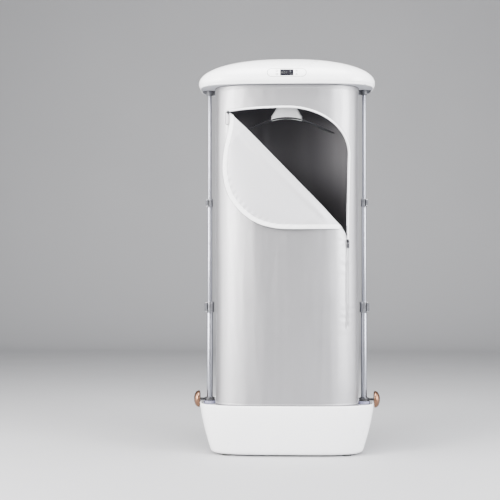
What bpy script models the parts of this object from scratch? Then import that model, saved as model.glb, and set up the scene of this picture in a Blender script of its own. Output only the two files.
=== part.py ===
# Steam garment cabinet: a fabric tube held between a steam base and a blower lid by telescoping poles.
# Metres, +Z up, front towards -Y, origin on the floor under the middle of the base.

import math

import bmesh
import bpy
from mathutils import Matrix, Vector

# Fits
GAP = 0.0003  # between two pieces that touch
CUT_OVERRUN = 0.004  # how far a cutter runs past the wall it cuts
FAR = 0.5  # reach of a cutter that goes right out of the object
EDGE_CHAMFER = 0.0015  # broken edge of the small mouldings and turned pieces

# Rounded plan of the mouldings and of the fabric tube
HOUSING_POWER = 3.6
TUBE_POWER = 3.3
BLOCK_POWER = 7
PLAN_SIDES = 40
SHARP_ANGLE = math.radians(32)

# Base moulding
BASE_HALF_WIDTH = 0.362
BASE_HALF_DEPTH = 0.197
BASE_TOP = 0.212
BASE_TAPER = 0.048
BASE_TAPER_POWER = 1.4
BASE_WALL = 0.003
BASE_TOE = 0.012
BASE_TOE_ANGLES = [math.radians(step) for step in (5, 35, 65)]
BASE_RISE_shares = (0.06, 0.2, 0.4, 0.6, 0.8, 1.0)
BASE_LINER_shares = (0.92, 0.6, 0.3)
RIM_WIDTH = 0.0045
DECK_DROP = 0.013
DECK_THICKNESS = 0.003
DECK_LEDGE_WIDTH = 0.004
DECK_LEDGE_HEIGHT = 0.005
FOOT_HEIGHT = 0.006
FOOT_RADIUS = 0.019
FOOT_FLARE = 0.002
FOOT_X_share = 0.68
FOOT_Y_share = 0.52
FLOOR_THICKNESS = 0.003
FLANGE_WIDTH = 0.012

# Poles, from the lowest to the highest
POLE_INSET = 0.038
LOWER_POLE_RADIUS = 0.0125
MIDDLE_POLE_RADIUS = 0.0100
UPPER_POLE_RADIUS = 0.0080
UPPER_POLE_WALL = 0.0015
POLE_SIDES = 16
LOWER_CLAMP_share = 0.400
UPPER_CLAMP_share = 0.6891
POLE_OVERLAP = 0.090
SOCKET_WALL = 0.004
SOCKET_DEPTH = 0.078
SOCKET_SIDES = 16

# Clamps with their cam levers
LOWER_CLAMP_RADIUS = 0.0185
LOWER_CLAMP_HEIGHT = 0.045
UPPER_CLAMP_RADIUS = 0.0135
UPPER_CLAMP_HEIGHT = 0.034
CLAMP_SLIT = 0.002
CLAMP_SIDES = 16
CLAMP_SLOT_TURN = math.radians(238)
CLAMP_SLOT_WIDTH = 0.0035
CLAMP_SLOT_DEPTH = 0.0035
CLAMP_SLOT_HEIGHT_share = 0.72
LUG_THICKNESS = 0.004
LEVER_PIN_RADIUS = 0.0018
LEVER_BARREL_RADIUS = 0.0042
LEVER_THICKNESS = 0.0026
LEVER_CLEARANCE = 0.0008
LEVER_LIP = 0.0028
LEVER_START = math.radians(-58)
LEVER_END = math.radians(68)
LEVER_STEPS = 6
LEVER_TIP_TURN = math.radians(4)
LEVER_ROOT_TURN = math.radians(16)

# Collar at the foot of each pole, and the side knob that clamps it
NUT_RADIUS = 0.0252
NUT_RIB = 0.0010
NUT_RIBS = 18
NUT_HEIGHT = 0.0125
RING_RADIUS = 0.0215
RING_HEIGHT = 0.0145
RING_CHAMFER = 0.0015
KNOB_RADIUS = 0.035
KNOB_CLEARANCE = 0.0035
KNOB_THICKNESS = 0.0255
KNOB_EDGE = 0.003
KNOB_RIM = 0.006
KNOB_DOME_ANGLES = [math.radians(step) for step in (0, 22, 44, 64, 80)]
KNOB_BORE_DEPTH = 0.009
KNOB_SIDES = 24
STEM_RADIUS = 0.0056
STEM_TIP_RADIUS = 0.0038
STEM_SIDES = 12

# Fabric tube
TUBE_POLE_GAP = 0.026
TUBE_DEPTH_INSET = 0.030
COVER_WALL = 0.0015
HOOP_THICKNESS = 0.0018
HOOP_HEIGHT = 0.008
LINING_WALL = 0.0012

# Door: the arch that the zip runs round, and the diagonal that its flap folds along
DOOR_LEFT_share = 0.7956
DOOR_RIGHT_share = 0.8282
DOOR_TOP_DROP = 0.092
DOOR_LEFT_DROP = 0.107
DOOR_SHOULDER_DROP = 0.280
DOOR_RIGHT_DROP = 0.6042
DOOR_DIP = 0.012
DOOR_LEAN = 0.0082
ZIP_REST_IN = 0.0008
ZIP_REST_DROP = 0.0308
ZIP_RUN = 0.353
ZIP_BAND = 0.0065
ZIP_THICKNESS = 0.0012
DOOR_STATIONS = 22
ARCH_HALVINGS = 40
FLAP_THICKNESS = 0.0015
FOLD_RADIUS = 0.0035
FOLD_TAPER_REACH = 0.120
FOLD_LEAST_share = 0.4
FOLD_STEPS = 4
FLAP_STEPS = 5
FLAP_STAND_OFF = 0.004
FLAP_RELAX_REACH = 0.060
FLAP_RELAX_share = 0.40
FLAP_START_share = 0.03
FLAP_END_share = 0.93
FLAP_CORNER_share = 0.95
FLAP_TRIM = 0.030
FLAP_TRIM_share = 0.57
FLAP_TRIM_POWER = 3
FLAP_AXIS_INSET = 0.009

# Zip sliders and their pulls
SLIDER_HALF_WIDTH = 0.0045
SLIDER_HALF_HEIGHT = 0.0075
SLIDER_THICKNESS = 0.0040
SLIDER_WAIST_share = 0.70
PULL_PIVOT_OUT = 0.0072
BRIDGE_BORE = 0.0024
BRIDGE_WALL = 0.0014
BRIDGE_HALF_WIDTH = 0.0018
PULL_THICKNESS = 0.0022
PULL_BORDER = 0.0022
RIGHT_PULL_HALF_WIDTH = 0.0048
RIGHT_PULL_LENGTH = 0.030
RIGHT_PULL_EYE = 0.010
LEFT_PULL_HALF_WIDTH = 0.0085
LEFT_PULL_LENGTH = 0.052
LEFT_PULL_FOOT = 0.003
LEFT_SLIDER_OUT = 0.0010
LEFT_SLIDER_DROP = 0.0020
PULL_CORNER_share = 0.45
PULL_CORNER_STEPS = 3

# Lid moulding
LID_OVERHANG = 0.004
LID_HALF_DEPTH = 0.200
LID_BOTTOM = 1.515
LID_GROOVE_RISE = 0.007
LID_GROOVE = 0.001
LID_WIDEST_RISE = 0.020
LID_DOME_RISE = 0.107
LID_CURL = 0.0065
LID_WALL = 0.003
LID_CROWN_POWER = 2.2
TRAY_THICKNESS = 0.003
TRAY_RISE = 0.0015
DOME_ANGLES = [math.radians(step) for step in (0, 9, 20, 33, 48, 65, 80)]

# Brackets that hold the poles under the lid
BRACKET_DROP = 0.020
BRACKET_WALL = 0.005
BRACKET_RIB = 0.009
BRACKET_INBOARD = 0.0225
BRACKET_OUTBOARD = 0.0285
BRACKET_TIP = 0.006

# Control panel in the lid's front
PANEL_RISE = 0.044
PANEL_HALF_WIDTH = 0.0795
PANEL_HALF_HEIGHT = 0.018
PANEL_ARC_STEPS = 8
WINDOW_HALF_WIDTH = 0.027
WINDOW_HALF_HEIGHT = 0.0135
BOARD_HALF_WIDTH = 0.060
BOARD_HALF_DEPTH = 0.020
BOARD_THICKNESS = 0.0016
BOARD_POST = 0.005
BOARD_POST_RADIUS = 0.003
BOARD_POST_SIDES = 8
BOARD_CHIP_shares = (-0.5, 0, 0.5)
BOARD_Y_share = 0.68
BOARD_CHIP = 0.008
BOARD_CHIP_HEIGHT = 0.003

# Blower and heater in the lid
FAN_RADIUS = 0.078
FAN_HEIGHT = 0.046
FAN_WALL = 0.0025
FAN_FLANGE = 0.008
MOTOR_RADIUS = 0.026
MOTOR_HEIGHT = 0.030
MOTOR_SHAFT_RADIUS = 0.003
IMPELLER_RADIUS = 0.062
IMPELLER_PLATE = 0.002
IMPELLER_HUB = 0.008
IMPELLER_CLEARANCE = 0.004
BLADE_COUNT = 11
BLADE_HEIGHT = 0.022
BLADE_WALL = 0.0016
BLADE_INNER_share = 0.62
BLADE_SWEEP = math.radians(24)
BLADE_STEPS = 2
FAN_SIDES = 20

# Air duct with the hanger
DUCT_TOP_HALF_WIDTH = 0.0415
DUCT_HALF_WIDTH = 0.065
DUCT_HALF_DEPTH = 0.036
DUCT_NECK_DROP = 0.075
DUCT_SHOULDER_DROP = 0.109
DUCT_BOTTOM_DROP = 0.124
DUCT_ARCH = 0.010
DUCT_WALL = 0.0025
DUCT_FLANGE = 0.012
DUCT_SIDES = 20
HEATER_HEIGHT = 0.028
HEATER_SLOTS = 7
HEATER_SLOT_share = 0.5
HEATER_BORDER = 0.006
HANGER_HALF_SPAN = 0.200
HANGER_DROP = 0.111
HANGER_SLOPE = math.radians(25)
HANGER_BEND = 0.030
HANGER_ROOT_HALF_DEPTH = 0.013
HANGER_TIP_HALF_DEPTH = 0.018
HANGER_HALF_HEIGHT = 0.0055
HANGER_STATIONS = 7
HANGER_SIDES = 10
HANGER_POWER = 2.5
HANGER_TIP_POWER = 8
HANGER_TIP_share = 0.4

# Water tank, drawn out of the back of the base
TANK_HALF_WIDTH = 0.135
TANK_BOTTOM_Z = 0.022
TANK_FACE_DROP = 0.062
TANK_TOP_DROP = 0.080
TANK_FRONT_Y = 0.040
TANK_WALL = 0.0025
TANK_FACE_DEPTH = 0.012
TANK_RAIL_X = 0.090
TANK_RAIL_WIDTH = 0.010
TANK_RAIL_LENGTH = 0.040
TANK_RING_shares = (0, 0.25, 0.5, 0.75, 1)
FILLER_RADIUS = 0.016
FILLER_INSET = 0.102
CAP_RADIUS = 0.021
CAP_HEIGHT = 0.006
CAP_PLUG = 0.008
CAP_WALL = 0.0008
GRIP_HALF_WIDTH = 0.045
GRIP_HALF_HEIGHT = 0.011
GRIP_DEPTH = 0.016
GRIP_DROP = 0.032
GRIP_POWER = 4

# Steam generator, pump, hoses and outlet
BOILER_X = -0.125
BOILER_Y = -0.075
BOILER_Z = 0.062
BOILER_RADIUS = 0.036
BOILER_HALF_LENGTH = 0.070
BOILER_FLANGE = 0.006
BOILER_FLANGE_WIDTH = 0.008
BOILER_RIBS = 3
BOILER_SIDES = 18
SADDLE_HALF_WIDTH = 0.028
SADDLE_THICKNESS = 0.012
SADDLE_X_share = 0.55
PUMP_X = 0.110
PUMP_Y = -0.045
PUMP_Z = 0.040
PUMP_RADIUS = 0.020
PUMP_LENGTH = 0.060
PUMP_HEAD = 0.044
HOSE_RADIUS = 0.0045
HOSE_SIDES = 1
HOSE_POINTS = 12
STEAM_HOSE_RADIUS = 0.006
HOSE_ARM = 0.055
NOZZLE_Y = -0.010
NOZZLE_STEM_RADIUS = 0.010
NOZZLE_BORE_RADIUS = 0.006
NOZZLE_RADIUS = 0.036
NOZZLE_HEIGHT = 0.009
NOZZLE_STEM_LENGTH = 0.020
NOZZLE_SLOTS = 8
NOZZLE_SLOT_WIDTH = 0.0035
NOZZLE_SLOT_START = 0.014
NOZZLE_SIDES = 18
NOZZLE_LIP_share = 0.35
NOZZLE_CROWN_share = 0.65

# Mains inlet beside the tank
INLET_X = -0.215
INLET_Z = 0.070
INLET_HALF_WIDTH = 0.014
INLET_HALF_HEIGHT = 0.011
INLET_FLANGE = 0.003
INLET_FLANGE_THICKNESS = 0.002
INLET_DEPTH = 0.024
INLET_WALL = 0.002
INLET_PIN_HALF_WIDTH = 0.0011
INLET_PIN_HALF_HEIGHT = 0.0030
INLET_PIN_PITCH = 0.0070
INLET_PIN_LENGTH = 0.015

# Heights and radii that follow from the sizes above
DECK_TOP = BASE_TOP - DECK_DROP
POLE_X = BASE_HALF_WIDTH - POLE_INSET
TUBE_HALF_WIDTH = POLE_X - TUBE_POLE_GAP
TUBE_HALF_DEPTH = BASE_HALF_DEPTH - TUBE_DEPTH_INSET
KNOB_INNER_X = BASE_HALF_WIDTH + KNOB_CLEARANCE
KNOB_OUTER_X = KNOB_INNER_X + KNOB_THICKNESS
SOCKET_BOTTOM = DECK_TOP - SOCKET_DEPTH
LID_HALF_WIDTH = BASE_HALF_WIDTH + LID_OVERHANG
LID_GROOVE_Z = LID_BOTTOM + LID_GROOVE_RISE
LID_WIDEST_Z = LID_BOTTOM + LID_WIDEST_RISE
LID_TOP = LID_WIDEST_Z + LID_DOME_RISE
LOWER_CLAMP_Z = LID_BOTTOM * LOWER_CLAMP_share
UPPER_CLAMP_Z = LID_BOTTOM * UPPER_CLAMP_share
PANEL_Z = LID_BOTTOM + PANEL_RISE
DUCT_NECK_Z = LID_BOTTOM - DUCT_NECK_DROP
DUCT_SHOULDER_Z = LID_BOTTOM - DUCT_SHOULDER_DROP
DUCT_BOTTOM_Z = LID_BOTTOM - DUCT_BOTTOM_DROP
HANGER_Z = LID_BOTTOM - HANGER_DROP
DOOR_LEFT = (-TUBE_HALF_WIDTH * DOOR_LEFT_share, LID_BOTTOM - DOOR_LEFT_DROP)
DOOR_RIGHT = (TUBE_HALF_WIDTH * DOOR_RIGHT_share, LID_BOTTOM - DOOR_RIGHT_DROP)
DOOR_TOP = LID_BOTTOM - DOOR_TOP_DROP
DOOR_SHOULDER = LID_BOTTOM - DOOR_SHOULDER_DROP
ZIP_REST = (DOOR_RIGHT[0] - ZIP_REST_IN, DOOR_RIGHT[1] - ZIP_REST_DROP)
ZIP_END_Z = ZIP_REST[1] - ZIP_RUN
LEFT_SLIDER = (DOOR_LEFT[0] - LEFT_SLIDER_OUT, DOOR_LEFT[1] - LEFT_SLIDER_DROP)
FLAP_AXIS_Y = -(TUBE_HALF_DEPTH - FLAP_AXIS_INSET)
TANK_FACE_TOP_Z = BASE_TOP - TANK_FACE_DROP
TANK_TOP_Z = BASE_TOP - TANK_TOP_DROP
FILLER_Y = BASE_HALF_DEPTH - FILLER_INSET
GRIP_Z = TANK_FACE_TOP_Z - GRIP_DROP
FLOOR_BOTTOM = FOOT_HEIGHT + GAP
FLOOR_TOP = FLOOR_BOTTOM + FLOOR_THICKNESS
DECK_BOTTOM = DECK_TOP - DECK_THICKNESS
LOWER_POLE_BORE = MIDDLE_POLE_RADIUS + GAP
MIDDLE_POLE_BORE = UPPER_POLE_RADIUS + GAP
KNOB_Z = DECK_TOP + GAP + NUT_HEIGHT + GAP + RING_HEIGHT / 2
TRAY_BOTTOM = LID_BOTTOM + TRAY_RISE
TRAY_TOP = TRAY_BOTTOM + TRAY_THICKNESS
TUBE_TOP = TRAY_BOTTOM - GAP
TUBE_BOTTOM = DECK_TOP + GAP
FOLD_LINE = Vector((DOOR_RIGHT[0] - DOOR_LEFT[0], DOOR_RIGHT[1] - DOOR_LEFT[1]))
FOLD_LENGTH = FOLD_LINE.length
FOLD_ALONG = FOLD_LINE.normalized()
FOLD_ACROSS = Vector((-FOLD_ALONG[1], FOLD_ALONG[0]))

# name: base colour, roughness, metallic
FINISHES = {
    "gloss_white": ((0.93, 0.93, 0.94), 0.14, 0.0),
    "satin_grey": ((0.55, 0.55, 0.58), 0.42, 0.0),
    "lavender_grey": ((0.50, 0.50, 0.58), 0.38, 0.0),
    "dark_plastic": ((0.035, 0.035, 0.04), 0.45, 0.0),
    "chrome": ((0.80, 0.81, 0.83), 0.12, 1.0),
    "brushed_steel": ((0.62, 0.63, 0.65), 0.32, 1.0),
    "rose_gold": ((0.76, 0.55, 0.42), 0.26, 1.0),
    "rubber": ((0.03, 0.03, 0.03), 0.75, 0.0),
    "pearl_fabric": ((0.74, 0.74, 0.75), 0.45, 0.0),
    "flap_fabric": ((0.76, 0.75, 0.76), 0.60, 0.0),
    "lining_fabric": ((0.085, 0.083, 0.092), 0.80, 0.0),
    "zip_tape": ((0.80, 0.80, 0.81), 0.65, 0.0),
    "screen_glass": ((0.01, 0.01, 0.012), 0.08, 0.0),
    "board_green": ((0.03, 0.16, 0.08), 0.50, 0.0),
    "tank_clear": ((0.35, 0.40, 0.45), 0.15, 0.0),
    "cast_aluminium": ((0.50, 0.51, 0.52), 0.45, 1.0),
    "silicone": ((0.70, 0.70, 0.68), 0.55, 0.0),
}


def clear_scene():
    for item in list(bpy.data.objects):
        bpy.data.objects.remove(item)


def finish_material(finish):
    found = bpy.data.materials.get(finish)
    if found:
        return found
    colour, roughness, metallic = FINISHES[finish]
    made = bpy.data.materials.new(finish)
    made.use_nodes = True
    shader = made.node_tree.nodes["Principled BSDF"]
    shader.inputs["Base Color"].default_value = (*colour, 1)
    shader.inputs["Roughness"].default_value = roughness
    shader.inputs["Metallic"].default_value = metallic
    return made


def finished(name, mesh, finish):
    bmesh.ops.recalc_face_normals(mesh, faces=mesh.faces)
    data = bpy.data.meshes.new(name)
    mesh.to_mesh(data)
    mesh.free()
    data.shade_smooth()
    data.set_sharp_from_angle(angle=SHARP_ANGLE)
    data.materials.append(finish_material(finish))
    piece = bpy.data.objects.new(name, data)
    bpy.context.collection.objects.link(piece)
    return piece


def lofted(name, rings, finish, closed=False, place=None):
    # skins a row of rings; a ring of one point is a tip, and closed joins the last ring to the first
    place = place or Matrix()
    mesh = bmesh.new()
    loops = [[mesh.verts.new(place @ Vector(point)) for point in ring] for ring in rings]
    pairs = list(zip(loops, loops[1:]))
    if closed:
        pairs.append((loops[-1], loops[0]))
    for first, second in pairs:
        count = max(len(first), len(second))
        for step in range(count):
            after = (step + 1) % count
            corners = [first[step % len(first)], first[after % len(first)]]
            corners += [second[after % len(second)], second[step % len(second)]]
            mesh.faces.new(list(dict.fromkeys(corners)))
    if not closed and len(loops[0]) > 1:
        mesh.faces.new(loops[0])
    if not closed and len(loops[-1]) > 1:
        mesh.faces.new(loops[-1])
    return finished(name, mesh, finish)


def circle(radius, height, sides):
    if radius == 0:
        return [(0, 0, height)]
    turns = [2 * math.pi * step / sides for step in range(sides)]
    return [(radius * math.cos(turn), radius * math.sin(turn), height) for turn in turns]


def turned(name, profile, finish, sides, closed=False, place=None):
    # profile holds (radius, height) pairs about the local Z axis
    rings = [circle(radius, height, sides) for radius, height in profile]
    return lofted(name, rings, finish, closed, place)


def tube(name, outer, inner, bottom, top, finish, sides, place=None):
    profile = [(outer, bottom), (outer, top), (inner, top), (inner, bottom)]
    return turned(name, profile, finish, sides, True, place)


def rod(name, radius, bottom, top, finish, sides, place=None):
    return turned(name, [(radius, bottom), (radius, top)], finish, sides, False, place)


def outline(half_width, half_depth, power, height, sides=PLAN_SIDES):
    # a rounded rectangle: one superellipse round the local Z axis
    points = []
    for step in range(sides):
        turn = 2 * math.pi * step / sides
        along, across = math.cos(turn), math.sin(turn)
        x = math.copysign(abs(along) ** (2 / power), along)
        y = math.copysign(abs(across) ** (2 / power), across)
        points.append((half_width * x, half_depth * y, height))
    return points


def prism(name, points, low, high, finish, place=None):
    rings = [[(x, y, level) for x, y in points] for level in (low, high)]
    return lofted(name, rings, finish, False, place)


def box(name, low, high, finish, place=None):
    corners = [(low[0], low[1]), (high[0], low[1]), (high[0], high[1]), (low[0], high[1])]
    return prism(name, corners, low[2], high[2], finish, place)


def front_prism(name, points, near, far, finish):
    # an outline drawn in X and Z, run along Y from near to far
    rings = [[(x, depth, z) for x, z in points] for depth in (near, far)]
    return lofted(name, rings, finish)


def shape_with(piece, tool, operation):
    tool.hide_render = True
    tool.display_type = "WIRE"
    step = piece.modifiers.new(tool.name, "BOOLEAN")
    step.operation = operation
    step.solver = "EXACT"
    step.object = tool
    return piece


def cut(piece, *tools):
    for tool in tools:
        shape_with(piece, tool, "DIFFERENCE")
    return piece


def fuse(piece, *tools):
    for tool in tools:
        shape_with(piece, tool, "UNION")
    return piece


def trim_to(piece, tool):
    return shape_with(piece, tool, "INTERSECT")


def pivot_at(point, name, pieces):
    # a moving group hangs on an empty that sits on its joint's axis
    carrier = bpy.data.objects.new(name, None)
    carrier.location = point
    bpy.context.collection.objects.link(carrier)
    for piece in pieces:
        piece.parent = carrier
        piece.matrix_parent_inverse = Matrix.Translation(point).inverted()
    return carrier


def along_x(x, y, z, direction=1):
    # local Z runs along +X or -X
    return Matrix.Translation((x, y, z)) @ Matrix.Rotation(direction * math.pi / 2, 4, "Y")


def side_name(side):
    return "left" if side < 0 else "right"


def pole_place(side):
    # local +X points outwards from the tube on either side
    return Matrix.Translation((side * POLE_X, 0, 0)) @ Matrix.Diagonal((side, 1, 1, 1))


# Base housing, floor and deck


def base_inset(height):
    drop_share = (BASE_TOP - height) / BASE_TOP
    return BASE_TAPER * drop_share**BASE_TAPER_POWER


def base_ring(height, inset):
    total = base_inset(height) + inset
    return outline(BASE_HALF_WIDTH - total, BASE_HALF_DEPTH - total, HOUSING_POWER, height)


def base_skin_rings():
    rings = []
    for turn in BASE_TOE_ANGLES:
        rise, pull_in = 1 - math.cos(turn), 1 - math.sin(turn)
        rings.append(base_ring(FLOOR_BOTTOM + BASE_TOE * rise, BASE_TOE * pull_in))
    shoulder = BASE_TOP - RIM_WIDTH / 2
    for share in BASE_RISE_shares:
        rings.append(base_ring(FLOOR_BOTTOM + share * (shoulder - FLOOR_BOTTOM), 0))
    return rings


def make_base_housing():
    rings = base_skin_rings()
    rings.append(base_ring(BASE_TOP - GAP, RIM_WIDTH / 4))
    rings.append(base_ring(BASE_TOP - GAP, RIM_WIDTH * 3 / 4))
    rings.append(base_ring(BASE_TOP - RIM_WIDTH / 2, RIM_WIDTH))
    ledge_top = DECK_BOTTOM - GAP
    ledge_bottom = ledge_top - DECK_LEDGE_HEIGHT
    flange_top = FLOOR_TOP + GAP + FLOOR_THICKNESS
    rings.append(base_ring(ledge_top, RIM_WIDTH))
    rings.append(base_ring(ledge_top, RIM_WIDTH + DECK_LEDGE_WIDTH))
    rings.append(base_ring(ledge_bottom, RIM_WIDTH + DECK_LEDGE_WIDTH))
    for share in BASE_LINER_shares:
        rings.append(base_ring(flange_top + share * (ledge_bottom - flange_top), BASE_WALL))
    wall_foot = BASE_WALL + BASE_TOE
    rings.append(base_ring(flange_top, wall_foot))
    rings.append(base_ring(flange_top, wall_foot + FLANGE_WIDTH))
    rings.append(base_ring(FLOOR_TOP + GAP, wall_foot + FLANGE_WIDTH))
    rings.append(base_ring(FLOOR_TOP + GAP, wall_foot))
    rings.append(base_ring(FLOOR_BOTTOM, wall_foot))
    housing = lofted("base_housing", rings, "gloss_white", True)
    bay = box("tank_bay_cutter", tank_box(0)[0], tank_box(0)[1], "gloss_white")
    half = (INLET_HALF_WIDTH + GAP, INLET_HALF_HEIGHT + GAP)
    hole = box(
        "inlet_hole_cutter",
        (INLET_X - half[0], 0, INLET_Z - half[1]),
        (INLET_X + half[0], FAR, INLET_Z + half[1]),
        "gloss_white",
    )
    return cut(housing, bay, hole)


def tank_box(gap):
    low = (-TANK_HALF_WIDTH + gap, TANK_FRONT_Y, TANK_BOTTOM_Z + gap)
    high = (TANK_HALF_WIDTH - gap, FAR, TANK_FACE_TOP_Z - gap)
    return low, high


def make_base_floor():
    inset = BASE_WALL + BASE_TOE + GAP
    rings = [base_ring(FLOOR_BOTTOM, inset), base_ring(FLOOR_TOP, inset + GAP)]
    floor = lofted("base_floor", rings, "satin_grey")
    rail_start = TANK_FRONT_Y + TANK_WALL
    for side in (-1, 1):
        rail = box(
            f"tank_rail_{side_name(side)}",
            (side * TANK_RAIL_X - TANK_RAIL_WIDTH / 2, rail_start, FLOOR_BOTTOM + GAP),
            (side * TANK_RAIL_X + TANK_RAIL_WIDTH / 2, rail_start + TANK_RAIL_LENGTH, TANK_BOTTOM_Z),
            "satin_grey",
        )
        fuse(floor, rail)
    return floor


def make_base_deck():
    # each pole stands in a blind socket moulded under the deck
    rings = [base_ring(DECK_BOTTOM, RIM_WIDTH + GAP), base_ring(DECK_TOP, RIM_WIDTH + GAP)]
    deck = lofted("base_deck", rings, "satin_grey")
    bore = LOWER_POLE_RADIUS + GAP
    for side in (-1, 1):
        name, place = side_name(side), pole_place(side)
        low, high = SOCKET_BOTTOM - SOCKET_WALL, DECK_TOP - GAP
        radius = bore + SOCKET_WALL
        fuse(deck, rod(f"socket_boss_{name}", radius, low, high, "satin_grey", SOCKET_SIDES, place))
        cut(deck, rod(f"socket_well_{name}", bore, SOCKET_BOTTOM, FAR, "satin_grey", POLE_SIDES, place))
    place = Matrix.Translation((0, NOZZLE_Y, 0))
    radius = NOZZLE_STEM_RADIUS + GAP
    return cut(deck, rod("nozzle_hole", radius, 0, FAR, "satin_grey", NOZZLE_SIDES, place))


def make_feet():
    for side in (-1, 1):
        for end, word in ((-1, "front"), (1, "back")):
            x = side * FOOT_X_share * BASE_HALF_WIDTH
            y = end * FOOT_Y_share * BASE_HALF_DEPTH
            profile = [(FOOT_RADIUS, 0), (FOOT_RADIUS + FOOT_FLARE, FOOT_FLARE)]
            profile += [(FOOT_RADIUS + FOOT_FLARE, FOOT_HEIGHT)]
            name = f"foot_{word}_{side_name(side)}"
            turned(name, profile, "rubber", POLE_SIDES, False, Matrix.Translation((x, y, 0)))


# Poles, sockets and clamps


def make_pole(name, outer, inner, bottom, top, side):
    name = f"{name}_{side_name(side)}"
    return tube(name, outer, inner, bottom, top, "chrome", POLE_SIDES, pole_place(side))


def make_poles(side):
    lower_bottom = SOCKET_BOTTOM + GAP
    lower_top = LOWER_CLAMP_Z - GAP
    make_pole("lower_pole", LOWER_POLE_RADIUS, LOWER_POLE_BORE, lower_bottom, lower_top, side)
    middle_bottom = LOWER_CLAMP_Z - POLE_OVERLAP
    middle_top = UPPER_CLAMP_Z - GAP
    middle = make_pole(
        "middle_pole", MIDDLE_POLE_RADIUS, MIDDLE_POLE_BORE, middle_bottom, middle_top, side
    )
    upper_bottom = UPPER_CLAMP_Z - POLE_OVERLAP
    upper_inner = UPPER_POLE_RADIUS - UPPER_POLE_WALL
    upper = make_pole("upper_pole", UPPER_POLE_RADIUS, upper_inner, upper_bottom, TUBE_TOP, side)
    return middle, upper


def lever_pivot(radius):
    reach = radius + LEVER_BARREL_RADIUS
    return reach * math.cos(LEVER_START), reach * math.sin(LEVER_START)


def arc(radius, start, end, steps, centre=(0, 0)):
    turns = [start + (end - start) * step / steps for step in range(steps + 1)]
    return [(centre[0] + radius * math.cos(turn), centre[1] + radius * math.sin(turn)) for turn in turns]


def make_clamp(word, radius, height, middle_z, lower_bore, upper_bore, side):
    place = pole_place(side)
    name = f"{word}_clamp_{side_name(side)}"
    low, high = middle_z - height / 2, middle_z + height / 2
    profile = [
        (lower_bore, low),
        (radius - EDGE_CHAMFER, low),
        (radius, low + EDGE_CHAMFER),
        (radius, high - EDGE_CHAMFER),
        (radius - EDGE_CHAMFER, high),
        (upper_bore, high),
        (upper_bore, middle_z),
        (lower_bore, middle_z),
    ]
    clamp = turned(name, profile, "brushed_steel", CLAMP_SIDES, True, place)
    pivot = lever_pivot(radius)
    out = Vector(pivot).normalized()
    across = Vector((-out[1], out[0])) * LEVER_BARREL_RADIUS
    root = out * (radius - EDGE_CHAMFER * 2)
    start = math.atan2(out[1], out[0])
    lug = [tuple(root - across)]
    lug += arc(LEVER_BARREL_RADIUS, start - math.pi / 2, start + math.pi / 2, LEVER_STEPS, pivot)
    lug += [tuple(root + across)]
    top_lug = (high - EDGE_CHAMFER - LUG_THICKNESS, high - EDGE_CHAMFER)
    bottom_lug = (low + EDGE_CHAMFER, low + EDGE_CHAMFER + LUG_THICKNESS)
    for level, (lug_low, lug_high) in (("top", top_lug), ("bottom", bottom_lug)):
        fuse(clamp, prism(f"{name}_{level}_lug", lug, lug_low, lug_high, "brushed_steel", place))
    pin_place = place @ Matrix.Translation((*pivot, 0))
    pin = (LEVER_PIN_RADIUS, bottom_lug[0] + GAP, top_lug[1] - GAP)
    fuse(clamp, rod(f"{name}_pin", *pin, "brushed_steel", STEM_SIDES, pin_place))
    slit_low = (-radius - CUT_OVERRUN, -CLAMP_SLIT / 2, middle_z)
    slit_high = (-upper_bore + CUT_OVERRUN, CLAMP_SLIT / 2, high + CUT_OVERRUN)
    cut(clamp, box(f"{name}_slit", slit_low, slit_high, "brushed_steel", place))
    tall = height * CLAMP_SLOT_HEIGHT_share / 2
    slot_place = place @ Matrix.Rotation(CLAMP_SLOT_TURN, 4, "Z")
    slot_low = (radius - CLAMP_SLOT_DEPTH, -CLAMP_SLOT_WIDTH / 2, middle_z - tall)
    slot_high = (radius + CUT_OVERRUN, CLAMP_SLOT_WIDTH / 2, middle_z + tall)
    cut(clamp, box(f"{name}_front_slot", slot_low, slot_high, "brushed_steel", slot_place))
    lever = make_lever(f"{word}_lever_{side_name(side)}", radius, bottom_lug[1], top_lug[0], place)
    pivot_at(place @ Vector((*pivot, middle_z)), f"{word}_lever_axis_{side_name(side)}", [lever])
    return clamp


def make_lever(name, radius, low, high, place):
    # an arched plate hugging the collar, with a knuckle on the pin and a lip for the finger
    pivot = lever_pivot(radius)
    inner = radius + LEVER_CLEARANCE
    outer = inner + LEVER_THICKNESS
    steps = LEVER_STEPS
    blade = arc(outer, LEVER_START, LEVER_END, steps)
    blade += [(math.cos(LEVER_END) * (outer + LEVER_LIP), math.sin(LEVER_END) * (outer + LEVER_LIP))]
    blade += [(blade[-1][0] - LEVER_THICKNESS / 2, blade[-1][1] + LEVER_THICKNESS)]
    blade += arc(inner, LEVER_END + LEVER_TIP_TURN, LEVER_START + LEVER_ROOT_TURN, steps)
    level_low, level_high = low + GAP, high - GAP
    lever = prism(name, blade, level_low, level_high, "satin_grey", place)
    pin_place = place @ Matrix.Translation((*pivot, 0))
    sizes = (LEVER_BARREL_RADIUS - GAP, level_low, level_high)
    knuckle = rod(f"{name}_knuckle", *sizes, "satin_grey", STEM_SIDES, pin_place)
    bore_radius = LEVER_PIN_RADIUS + GAP
    bore = rod(f"{name}_bore", bore_radius, 0, LID_TOP, "satin_grey", STEM_SIDES, pin_place)
    return cut(fuse(lever, knuckle), bore)


def make_clamps(side):
    lower_outer = LOWER_POLE_RADIUS + GAP
    middle_outer = MIDDLE_POLE_RADIUS + GAP
    upper_outer = UPPER_POLE_RADIUS + GAP
    sizes = (LOWER_CLAMP_RADIUS, LOWER_CLAMP_HEIGHT, LOWER_CLAMP_Z)
    make_clamp("lower", *sizes, lower_outer, middle_outer, side)
    sizes = (UPPER_CLAMP_RADIUS, UPPER_CLAMP_HEIGHT, UPPER_CLAMP_Z)
    return make_clamp("upper", *sizes, middle_outer, upper_outer, side)


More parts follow.
